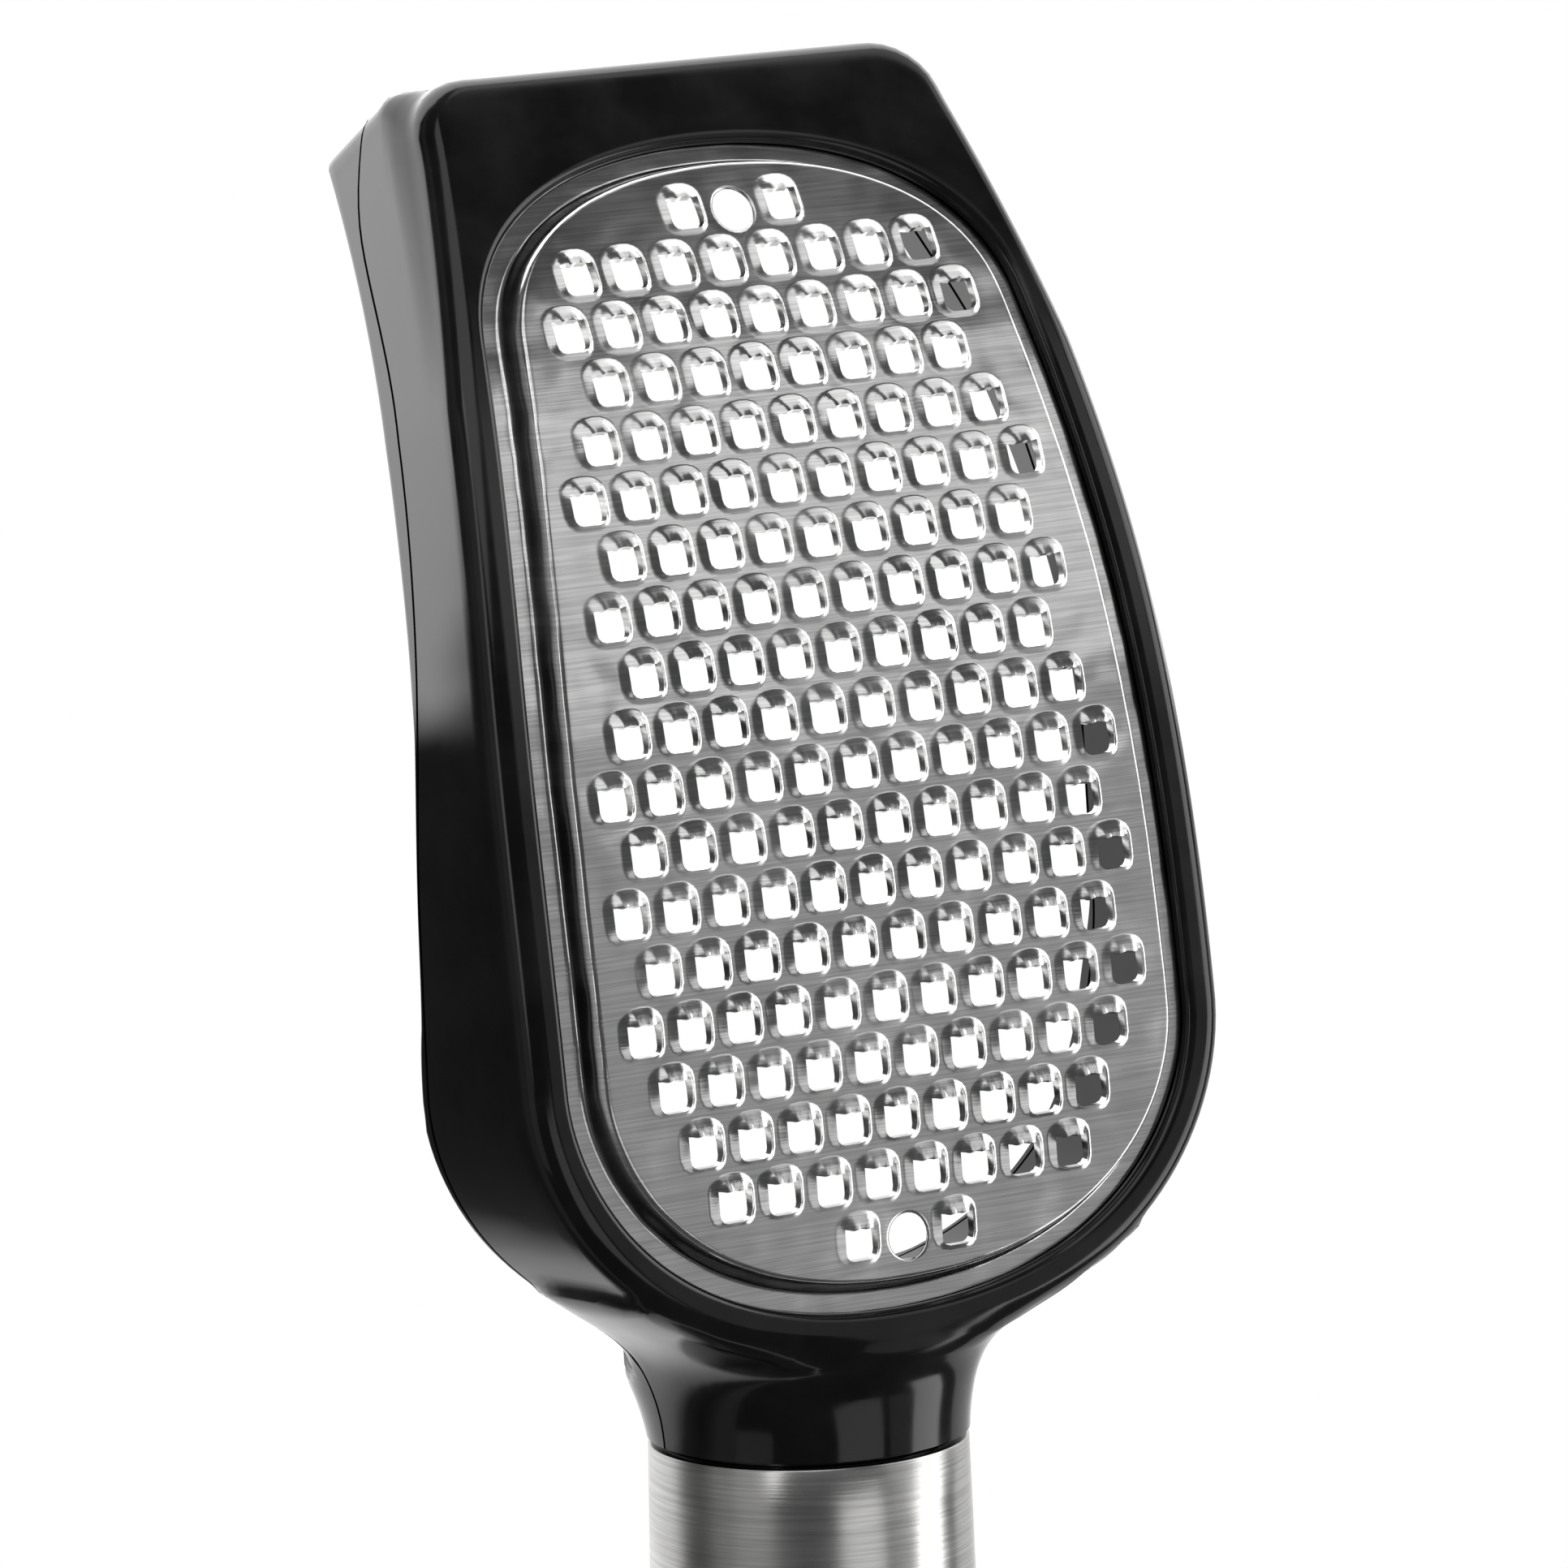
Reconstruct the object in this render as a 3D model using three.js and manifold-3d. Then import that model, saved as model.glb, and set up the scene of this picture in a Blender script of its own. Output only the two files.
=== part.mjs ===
// Hand grater with a bent toothed plate in a moulded head and a tubular steel handle.
// Millimetres. The grater lies on its back: +X across, +Y from the handle to the head, +Z up.
// The head is drawn flat and then bent, so that lengths along the plate are true on its panel:
// in the flat drawing x runs across, y along the handle from its collar and z forward of its axis.
import * as THREE from "three";
import { mergeVertices } from "three/addons/utils/BufferGeometryUtils.js";
import Module from "manifold-3d";

const wasm = await Module();
wasm.setup();

// Handle
const TUBE_LENGTH = 118;
const TUBE_END_RADIUS = 12.3;
const TUBE_BULGE_HEIGHT = 0.6;
const TUBE_WALL = 0.8;
const COLLAR_GAP = 0.5;
const PLUG_CLEARANCE = 0.3;
const PLUG_CHAMFER_WIDTH = 1;
const NECK_PLUG_LENGTH = 26;

// End cap
const CAP_LENGTH = 24;
const CAP_PLUG_LENGTH = 14;
const CAP_TIP_RADIUS = 8.5;
const CAP_TONGUE_THICKNESS = 9;
const CAP_SHOULDER_LENGTH = 3;
const EYE_RADIUS = 4;
const EYE_FROM_TIP = 8.5;

// Bend of the head, measured on the panel of the plate
const PANEL_HEIGHT = 14.9;
const LOWER_BEND_RADIUS = 260;
const LOWER_BEND_LENGTH = 63;
const UPPER_BEND_RADIUS = 125;
const BEND_STEP = 7.2;

// Opening in the front of the head
const OPENING_BOTTOM = 11.6;
const OPENING_HALF_WIDTH = 28.2;
const WIDEST_ABOVE_BOTTOM = 20;
const BOTTOM_CURVE_WIDTH = 22;
const BOTTOM_CURVE_HEIGHT = 7;
const SIDE_CURVE_HEIGHT = 24;
const SHOULDER_HALF_WIDTH = 24.2;
const SHOULDER_BELOW_TOP = 14.7;
const SIDE_LEAN = 0.14;
const SHOULDER_CURVE_HEIGHT = 9.5;
const TOP_CURVE_WIDTH = 13;

// Head
const HEAD_LENGTH = 112.2;
const END_RIM_WIDTH = 9.4;
const END_DRAFT = 1.6;
const RIM_WIDTH = 3.4;
const RIM_EDGE_RADIUS = 1.8;
const BACK_EDGE_RADIUS = 0.8;
const LIP_THICKNESS = 0.9;
const LIP_BEVEL_WIDTH = 0.7;
const SHELL_WALL = 1.5;
const BOTTOM_WALL = 3.2;
const LEDGE_THICKNESS = 1.5;
const FRONT_CORNER_RADIUS = 5.5;
const FRONT_CORNER_DEPTH = 2.4;
const BACK_CORNER_RADIUS = 2;
const TOP_HALF_WIDTH = 23.9;
const STRAIGHT_SIDE_LENGTH = 28.2;
const PARTING_GAP = 0.3;
const PARTING_AT_NECK = -1.3;
const PARTING_AT_MIDDLE = 4.8;
const PARTING_AT_TOP = 7.4;
const BACK_AT_NECK = -2.1;
const BACK_AT_MIDDLE = 2.3;
const BACK_AT_TOP = -0.3;

// Neck
const NECK_RADIUS = 12.4;
const NECK_LENGTH = 15.2;
const NECK_HALF_WIDTH = 23.5;
const NECK_STRAIGHT = 7;
const NECK_SPREAD = 0.2;
const FLARE_RUN = 6.3;
const FLARE_RISE = 4.5;
const NECK_SQUARENESS = 2;

// Grating plate
const SHEET_THICKNESS = 0.5;
const PANEL_RISE = 2;
const FLANGE_SHOWN = 1.3;
const STEP_WIDTH = 1.5;
const FLANGE_HELD = 1.2;
const SEAT_GAP = 0.2;

// Teeth
const TOOTH_PITCH = 4.4;
const ROW_PITCH = 4.4;
const ROW_MARGIN = 5.6;
const EDGE_MARGIN = 1;
const TOOTH_WIDTH = 2.9;
const HOLE_BELOW = 1.25;
const HOLE_CORNER_RADIUS = 0.75;
const HOOD_START = 1;
const HOOD_LENGTH = 1.4;
const HOOD_HEIGHT = 0.95;
const HOOD_CREASE = 0.12;
const HOOD_SHOULDER = 0.87;
const HOOD_SHOULDER_HALF_WIDTH = 1.13;
const CREST_HALF_WIDTH = 0.75;
const HOOD_SLOPE = 0.35;
const LOCATING_RADIUS = 1.75;

// Places along the flat drawing
const OPENING_TOP = HEAD_LENGTH - END_RIM_WIDTH;
const OPENING_LENGTH = OPENING_TOP - OPENING_BOTTOM;
const LOWEST_ROW = OPENING_BOTTOM + ROW_MARGIN;
const ROWS = Math.floor((OPENING_LENGTH - 2 * ROW_MARGIN) / ROW_PITCH) + 1;
const STRAIGHT_SIDE_FROM = HEAD_LENGTH - STRAIGHT_SIDE_LENGTH;
const THICK_WALL_TO = OPENING_BOTTOM + WIDEST_ABOVE_BOTTOM * 0.7;
const THIN_WALL_FROM = OPENING_BOTTOM + WIDEST_ABOVE_BOTTOM * 1.4;

// Heights in the flat drawing
const FLANGE_HEIGHT = PANEL_HEIGHT - PANEL_RISE;
const LIP_UNDERSIDE = FLANGE_HEIGHT + SEAT_GAP;
const FACE_HEIGHT = LIP_UNDERSIDE + LIP_THICKNESS;
const LEDGE_TOP = FLANGE_HEIGHT - SHEET_THICKNESS - SEAT_GAP;
const PANEL_INSET = FLANGE_SHOWN + STEP_WIDTH;
const PLUG_RADIUS = TUBE_END_RADIUS - TUBE_WALL - PLUG_CLEARANCE;
const FAR = 200;

// Solids and cuts

function solid(geometry) {
  const bare = geometry.clone();
  bare.deleteAttribute("normal");
  bare.deleteAttribute("uv");
  const merged = mergeVertices(bare, 1e-4);
  const vertProperties = new Float32Array(merged.attributes.position.array);
  const triVerts = new Uint32Array(merged.index.array);
  return new wasm.Manifold(new wasm.Mesh({ numProp: 3, vertProperties, triVerts }));
}

function geometryOf(made) {
  const mesh = made.getMesh();
  const geometry = new THREE.BufferGeometry();
  geometry.setAttribute("position", new THREE.BufferAttribute(mesh.vertProperties, 3));
  geometry.setIndex(new THREE.BufferAttribute(mesh.triVerts, 1));
  return geometry;
}

// A closed outline in (x, y) raised from one height to another.
function prism(points, from, to) {
  const options = { depth: to - from, bevelEnabled: false };
  return solid(new THREE.ExtrudeGeometry(new THREE.Shape(points), options).translate(0, 0, from));
}

// A closed outline in (y, z) run right across the head.
function acrossHead(points) {
  const options = { depth: 2 * FAR, bevelEnabled: false };
  const side = new THREE.ExtrudeGeometry(new THREE.Shape(points), options);
  side.translate(0, 0, -FAR);
  side.applyMatrix4(new THREE.Matrix4().set(0, 0, 1, 0, 1, 0, 0, 0, 0, 1, 0, 0, 0, 0, 0, 1));
  return solid(side);
}

function revolve(profile, segments) {
  const points = profile.map(([radius, y]) => new THREE.Vector2(radius, y));
  return solid(new THREE.LatheGeometry(points, segments));
}

// The bend

const LOWER_BEND_ANGLE = LOWER_BEND_LENGTH / LOWER_BEND_RADIUS;

// Where a point of the flat drawing lies on the bent head.
function bendPoint(point) {
  const lower = THREE.MathUtils.clamp(point.y, 0, LOWER_BEND_LENGTH) / LOWER_BEND_RADIUS;
  const upper = Math.max(point.y - LOWER_BEND_LENGTH, 0) / UPPER_BEND_RADIUS;
  const tilt = lower + upper;
  const forward = point.z - PANEL_HEIGHT;
  let along = Math.min(point.y, 0) + LOWER_BEND_RADIUS * Math.sin(lower);
  let height = PANEL_HEIGHT - LOWER_BEND_RADIUS * (1 - Math.cos(lower));
  if (upper > 0) {
    along += UPPER_BEND_RADIUS * (Math.sin(tilt) - Math.sin(LOWER_BEND_ANGLE));
    height -= UPPER_BEND_RADIUS * (Math.cos(LOWER_BEND_ANGLE) - Math.cos(tilt));
  }
  along += forward * Math.sin(tilt);
  height += forward * Math.cos(tilt);
  return new THREE.Vector3(point.x, along, height);
}

// The part of a polygon on one side of the line across at y = level.
function clip(polygon, level, sign) {
  const kept = [];
  polygon.forEach((from, i) => {
    const to = polygon[(i + 1) % polygon.length];
    const a = sign * (from.y - level);
    const b = sign * (to.y - level);
    if (a >= 0) kept.push(from);
    if (a * b < 0) {
      const crossing = new THREE.Vector3().lerpVectors(from, to, a / (a - b));
      crossing.y = level;
      kept.push(crossing);
    }
  });
  return kept;
}

// Cuts the faces of a flat piece at even steps along the head, and bends it.
function bend(flat) {
  const source = flat.index ? flat.toNonIndexed() : flat;
  const position = source.attributes.position;
  const corners = [];
  for (let i = 0; i < position.count; i += 3) {
    const face = [0, 1, 2].map((j) => new THREE.Vector3().fromBufferAttribute(position, i + j));
    const heights = face.map((corner) => corner.y);
    const first = Math.max(0, Math.floor(Math.min(...heights) / BEND_STEP));
    const last = Math.floor(Math.max(...heights) / BEND_STEP);
    let rest = face;
    for (let step = first + 1; step <= last && rest.length > 2; step += 1) {
      corners.push(...fan(clip(rest, step * BEND_STEP, -1)));
      rest = clip(rest, step * BEND_STEP, 1);
    }
    corners.push(...fan(rest));
  }
  const bent = corners.map(bendPoint);
  return new THREE.BufferGeometry().setFromPoints(bent);
}

function fan(polygon) {
  const corners = [];
  for (let i = 1; i + 1 < polygon.length; i += 1) corners.push(polygon[0], polygon[i], polygon[i + 1]);
  return corners;
}

// Outlines in the flat drawing

const point = (x, y) => new THREE.Vector2(x, y);
const raised = (places, z) => places.map((place) => new THREE.Vector3(place.x, place.y, z));
const widest = OPENING_BOTTOM + WIDEST_ABOVE_BOTTOM;
const shoulder = point(SHOULDER_HALF_WIDTH, OPENING_TOP - SHOULDER_BELOW_TOP);

// The opening's right-hand edge, from its bottom to its top.
const openingEdge = new THREE.Path()
  .moveTo(0, OPENING_BOTTOM)
  .bezierCurveTo(
    BOTTOM_CURVE_WIDTH,
    OPENING_BOTTOM,
    OPENING_HALF_WIDTH,
    widest - BOTTOM_CURVE_HEIGHT,
    OPENING_HALF_WIDTH,
    widest,
  )
  .bezierCurveTo(
    OPENING_HALF_WIDTH,
    widest + SIDE_CURVE_HEIGHT,
    shoulder.x + SIDE_LEAN * SIDE_CURVE_HEIGHT,
    shoulder.y - SIDE_CURVE_HEIGHT,
    shoulder.x,
    shoulder.y,
  )
  .bezierCurveTo(
    shoulder.x - SIDE_LEAN * SHOULDER_CURVE_HEIGHT,
    shoulder.y + SHOULDER_CURVE_HEIGHT,
    TOP_CURVE_WIDTH,
    OPENING_TOP,
    0,
    OPENING_TOP,
  );

// A point of that edge, by its share of the edge's length, moved outwards.
function edgePoint(share, outwards) {
  const along = openingEdge.getTangent(share);
  const place = openingEdge.getPoint(share);
  return point(place.x + along.y * outwards, place.y - along.x * outwards);
}

// Where the edge, moved outwards, reaches a given height.
function edgeShare(y, outwards) {
  let low = 0;
  let high = 1;
  for (let i = 0; i < 40; i += 1) {
    const share = (low + high) / 2;
    if (edgePoint(share, outwards).y < y) low = share;
    else high = share;
  }
  return low;
}

// A right-hand half outline, from its bottom to its top, made whole.
function mirrored(half) {
  const left = half.filter((place) => place.x > 1e-6).map((place) => point(-place.x, place.y));
  return [...half, ...left.reverse()];
}

const EDGE_STEPS = 32;

function openingOutline(outwards) {
  const half = [];
  for (let i = 0; i <= EDGE_STEPS; i += 1) {
    const place = edgePoint(i / EDGE_STEPS, outwards);
    half.push(i % EDGE_STEPS === 0 ? point(0, place.y) : place);
  }
  return mirrored(half);
}

// The head's outline, moved inwards: it follows the opening, then runs straight to its square top.
function headOutline(inwards, top, corner, inwardsAtBottom = inwards) {
  const joined = edgeShare(STRAIGHT_SIDE_FROM, RIM_WIDTH);
  const half = [];
  const steps = 22;
  for (let i = 0; i <= steps; i += 1) {
    const share = (joined * i) / steps;
    const thinning = THREE.MathUtils.smoothstep(openingEdge.getPoint(share).y, THICK_WALL_TO, THIN_WALL_FROM);
    const inset = THREE.MathUtils.lerp(inwardsAtBottom, inwards, thinning);
    const place = edgePoint(share, RIM_WIDTH - inset);
    half.push(i === 0 ? point(0, place.y) : place);
  }
  const radius = Math.max(corner - inwards, 0.2);
  const centre = point(TOP_HALF_WIDTH - inwards - radius, top - inwards - radius);
  const turns = 6;
  for (let i = 0; i <= turns; i += 1) {
    const angle = (i / turns) * (Math.PI / 2);
    half.push(point(centre.x + radius * Math.cos(angle), centre.y + radius * Math.sin(angle)));
  }
  half.push(point(0, top - inwards));
  return mirrored(half);
}

const frontOutline = (inwards) => headOutline(inwards, HEAD_LENGTH - END_DRAFT, FRONT_CORNER_RADIUS);
const backOutline = (inwards) => headOutline(inwards, HEAD_LENGTH, BACK_CORNER_RADIUS);

// The open space inside the head, with a thicker wall next to the neck.
function hollowOutline() {
  return headOutline(SHELL_WALL, HEAD_LENGTH - END_DRAFT, FRONT_CORNER_RADIUS, BOTTOM_WALL);
}

// Side profiles in the flat drawing, given as shares of the head's length and heights there

function smooth(places) {
  const points = places.map(([share, z]) => point(share * HEAD_LENGTH, z));
  return new THREE.SplineCurve(points).getPoints(30);
}

// The height of a side profile at a given place along the head.
function heightOn(profile, y) {
  const next = profile.findIndex((place) => place.x >= y);
  if (next <= 0) return next === 0 ? profile[0].y : profile[profile.length - 1].y;
  const from = profile[next - 1];
  const to = profile[next];
  return THREE.MathUtils.mapLinear(y, from.x, to.x, from.y, to.y);
}

const PARTING = smooth([
  [0, PARTING_AT_NECK],
  [0.196, PARTING_AT_NECK],
  [0.401, 0.8],
  [0.579, 4],
  [0.758, PARTING_AT_MIDDLE],
  [0.918, 3.4],
  [1, PARTING_AT_TOP],
]);
const BACK = smooth([
  [0, BACK_AT_NECK],
  [0.267, BACK_AT_NECK],
  [0.374, -0.1],
  [0.535, BACK_AT_MIDDLE],
  [0.713, BACK_AT_MIDDLE],
  [0.847, 1.4],
  [1, BACK_AT_TOP],
]);

// Everything in front of a side profile.
function inFrontOf(profile, shift) {
  const line = profile.map((place) => point(place.x, place.y + shift));
  const first = line[0];
  const last = line[line.length - 1];
  return acrossHead([
    point(-FAR, first.y),
    ...line,
    point(FAR, last.y),
    point(FAR, FAR),
    point(-FAR, FAR),
  ]);
}

// The head's outside

// Faces between two runs of points, the first run on the right of the second one's way.
function ribbon(a, b) {
  const corners = [];
  for (let i = 0; i + 1 < a.length; i += 1) {
    if (!a[i + 1].equals(b[i + 1])) corners.push(a[i], a[i + 1], b[i + 1]);
    if (!a[i].equals(b[i])) corners.push(a[i], b[i + 1], b[i]);
  }
  return corners;
}

const closed = (run) => [...run, run[0]];

// Covers a ring whose two sides mirror each other with faces straight across it.
function cover(ring) {
  const half = ring.length / 2;
  const right = ring.slice(0, half + 1);
  const left = [ring[0], ...ring.slice(half).reverse()];
  return ribbon(right, left);
}

// A solid skinned over a row of rings.
function skin(rings) {
  const corners = [...cover(rings[0]).reverse(), ...cover(rings[rings.length - 1])];
  for (let i = 0; i + 1 < rings.length; i += 1) {
    corners.push(...ribbon(closed(rings[i]), closed(rings[i + 1])));
  }
  return solid(new THREE.BufferGeometry().setFromPoints(corners));
}

// The head with both its edges rounded. Its front corners grow sharper towards the back.
function headBlock() {
  const turns = 3;
  const rings = [];
  for (let i = 0; i <= turns; i += 1) {
    const angle = (i / turns) * (Math.PI / 2);
    const inset = BACK_EDGE_RADIUS * (1 - Math.sin(angle));
    const rise = BACK_EDGE_RADIUS * (1 - Math.cos(angle));
    const ring = backOutline(inset);
    rings.push(ring.map(({ x, y }) => new THREE.Vector3(x, y, heightOn(BACK, y) + rise)));
  }
  const sharp = headOutline(0, HEAD_LENGTH - END_DRAFT / 2, BACK_CORNER_RADIUS);
  rings.push(raised(sharp, FACE_HEIGHT - RIM_EDGE_RADIUS - FRONT_CORNER_DEPTH));
  for (let i = 0; i <= turns; i += 1) {
    const angle = (i / turns) * (Math.PI / 2);
    const inset = RIM_EDGE_RADIUS * (1 - Math.cos(angle));
    const drop = RIM_EDGE_RADIUS * (1 - Math.sin(angle));
    rings.push(raised(frontOutline(inset), FACE_HEIGHT - drop));
  }
  return skin(rings);
}

const neckSide = new THREE.CubicBezierCurve(
  point(NECK_RADIUS, 0),
  point(NECK_RADIUS + NECK_SPREAD, NECK_STRAIGHT),
  point(NECK_HALF_WIDTH - FLARE_RUN, NECK_LENGTH - FLARE_RISE),
  point(NECK_HALF_WIDTH, NECK_LENGTH),
);

// A section across the neck: round at the collar, and squarer towards the head.
function neckSection(share) {
  const side = neckSide.getPoint(share);
  const front = THREE.MathUtils.lerp(NECK_RADIUS, FACE_HEIGHT, Math.min(1, 1.6 * share));
  const back = THREE.MathUtils.lerp(-NECK_RADIUS, BACK_AT_NECK + 0.4, share ** 3);
  const steps = 32;
  const ring = [];
  for (let i = 0; i < steps; i += 1) {
    const angle = (i / steps) * 2 * Math.PI;
    const facesBack = Math.cos(angle) > 0;
    const power = 2 / (2 + NECK_SQUARENESS * (facesBack ? share : share ** 3));
    const across = Math.sign(Math.sin(angle)) * Math.abs(Math.sin(angle)) ** power;
    const up = -Math.sign(Math.cos(angle)) * Math.abs(Math.cos(angle)) ** power;
    const z = (front + back) / 2 + (up * (front - back)) / 2;
    ring.push(new THREE.Vector3(side.x * across, side.y, z));
  }
  return ring;
}

function neck() {
  const shares = [0, 0.25, 0.45, 0.6, 0.75, 0.9, 1];
  return skin(shares.map(neckSection).reverse());
}

function tang() {
  return revolve(
    [
      [0, -NECK_PLUG_LENGTH],
      [PLUG_RADIUS - PLUG_CHAMFER_WIDTH, -NECK_PLUG_LENGTH],
      [PLUG_RADIUS, -NECK_PLUG_LENGTH + PLUG_CHAMFER_WIDTH],
      [PLUG_RADIUS, COLLAR_GAP],
      [0, COLLAR_GAP],
    ],
    32,
  );
}

function headOutside() {
  return headBlock().add(neck()).add(tang());
}

// Sub-parts

function frontShellGeometry() {
  const hollow = prism(hollowOutline(), -FAR, LEDGE_TOP - LEDGE_THICKNESS);
  const slot = prism(openingOutline(FLANGE_HELD + SEAT_GAP), LEDGE_TOP, LIP_UNDERSIDE);
  const options = {
    depth: FAR,
    bevelEnabled: true,
    bevelSize: LIP_BEVEL_WIDTH,
    bevelThickness: LIP_BEVEL_WIDTH,
    bevelOffset: -LIP_BEVEL_WIDTH,
    bevelSegments: 2,
  };
  const lipCut = new THREE.ExtrudeGeometry(new THREE.Shape(openingOutline(LIP_BEVEL_WIDTH)), options);
  lipCut.translate(0, 0, FACE_HEIGHT);
  const opening = prism(openingOutline(0), -FAR, FAR);
  const shell = headOutside()
    .intersect(inFrontOf(PARTING, PARTING_GAP / 2))
    .subtract(hollow)
    .subtract(slot)
    .subtract(opening)
    .subtract(solid(lipCut));
  return bend(geometryOf(shell));
}

function backShellGeometry() {
  const shell = headOutside()
    .subtract(inFrontOf(PARTING, -PARTING_GAP / 2))
    .subtract(prism(hollowOutline(), -FAR, FAR));
  return bend(geometryOf(shell));
}

// Grating plate

const rowHeight = (row) => LOWEST_ROW + row * ROW_PITCH;
const holdsLocatingHole = (row) => row === 0 || row === ROWS - 1;

// As many teeth as fit between the panel's edges, with every second row set over by half a pitch.
// The first and last rows hold one tooth on each side of their locating hole.
function toothPlaces(row) {
  if (holdsLocatingHole(row)) return [-TOOTH_PITCH, 0, TOOTH_PITCH];
  const low = edgePoint(edgeShare(rowHeight(row) - HOLE_BELOW, -PANEL_INSET), -PANEL_INSET).x;
  const high = edgePoint(
    edgeShare(rowHeight(row) + HOOD_START + HOOD_LENGTH, -PANEL_INSET),
    -PANEL_INSET,
  ).x;
  const room = Math.min(low, high) - EDGE_MARGIN - TOOTH_WIDTH / 2;
  const start = row % 2 === 0 ? 0 : TOOTH_PITCH / 2;
  const places = [];
  for (let x = start; x <= room; x += TOOTH_PITCH) {
    if (x > 0) places.unshift(-x);
    places.push(x);
  }
  return places;
}

// The edge of a tooth's hole on either face of the sheet, anticlockwise from its hood's right foot.
function toothOutline(inset) {
  const half = TOOTH_WIDTH / 2;
  const top = HOOD_START + HOOD_LENGTH - inset;
  const crook = HOOD_START + HOOD_SHOULDER - inset / 2;
  return [
    point(half, HOOD_START),
    point(HOOD_SHOULDER_HALF_WIDTH - inset, crook),
    point(0, top),
    point(-HOOD_SHOULDER_HALF_WIDTH + inset, crook),
    point(-half, HOOD_START),
    point(-half, -HOLE_BELOW + HOLE_CORNER_RADIUS),
    point(-half + HOLE_CORNER_RADIUS, -HOLE_BELOW),
    point(half - HOLE_CORNER_RADIUS, -HOLE_BELOW),
    point(half, -HOLE_BELOW + HOLE_CORNER_RADIUS),
  ];
}

const HOOD_POINTS = 5;

// The raised cutting edge between a hood's two feet.
function cuttingEdge(drop) {
  return [
    new THREE.Vector3(CREST_HALF_WIDTH, HOOD_START, PANEL_HEIGHT + HOOD_HEIGHT - drop),
    new THREE.Vector3(0, HOOD_START, PANEL_HEIGHT + HOOD_HEIGHT - HOOD_CREASE - drop),
    new THREE.Vector3(-CREST_HALF_WIDTH, HOOD_START, PANEL_HEIGHT + HOOD_HEIGHT - drop),
  ];
}

// The hood, its cutting edge and the walls of one hole.
function toothFaces() {
  const front = raised(toothOutline(0), PANEL_HEIGHT);
  const back = raised(toothOutline(HOOD_SLOPE), PANEL_HEIGHT - SHEET_THICKNESS);
  const frontArch = front.slice(0, HOOD_POINTS);
  const backArch = back.slice(0, HOOD_POINTS);
  const upper = [front[0], ...cuttingEdge(0), front[HOOD_POINTS - 1]];
  const lower = [back[0], ...cuttingEdge(SHEET_THICKNESS), back[HOOD_POINTS - 1]];
  const frontWall = [...front.slice(HOOD_POINTS - 1), front[0]];
  const backWall = [...back.slice(HOOD_POINTS - 1), back[0]];
  return [
    ...ribbon(upper, frontArch).reverse(),
    ...ribbon(lower, upper).reverse(),
    ...ribbon(backArch, lower).reverse(),
    ...ribbon(backWall, frontWall).reverse(),
  ];
}

function locatingOutline() {
  return new THREE.Path().absarc(0, 0, LOCATING_RADIUS, 0, 2 * Math.PI).getPoints(8).slice(0, -1);
}

// The panel's edge, with a point wherever two rows of teeth meet.
function panelShares() {
  const meets = [];
  for (let row = 1; row < ROWS; row += 1) {
    const below = (LOCATING_RADIUS + ROW_PITCH - HOOD_START - HOOD_LENGTH) / 2;
    meets.push(edgeShare(rowHeight(row) - below, -PANEL_INSET));
  }
  const ends = 8;
  const bottom = [];
  const top = [];
  for (let i = 0; i < ends; i += 1) {
    bottom.push((meets[0] * i) / ends);
    top.push(1 - ((1 - meets[meets.length - 1]) * i) / ends);
  }
  return { shares: [...bottom, ...meets, ...top.reverse()], meets };
}

// One face of the panel, row by row, with its holes.
function panelFace(half, meets, z, inset) {
  const corners = [];
  const limits = [half[0].y, ...meets, half[half.length - 1].y];
  for (let row = 0; row < ROWS; row += 1) {
    const low = limits[row] - 1e-6;
    const high = limits[row + 1] + 1e-6;
    const contour = mirrored(half.filter((place) => place.y >= low && place.y <= high));
    const holes = toothPlaces(row).map((x) => {
      const plain = holdsLocatingHole(row) && x === 0;
      const outline = plain ? locatingOutline() : toothOutline(inset);
      return outline.map((place) => point(place.x + x, place.y + rowHeight(row)));
    });
    const places = [...contour, ...holes.flat()];
    THREE.ShapeUtils.triangulateShape(contour, holes).forEach((face) => {
      corners.push(...face.map((i) => new THREE.Vector3(places[i].x, places[i].y, z)));
    });
  }
  return corners;
}

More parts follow.
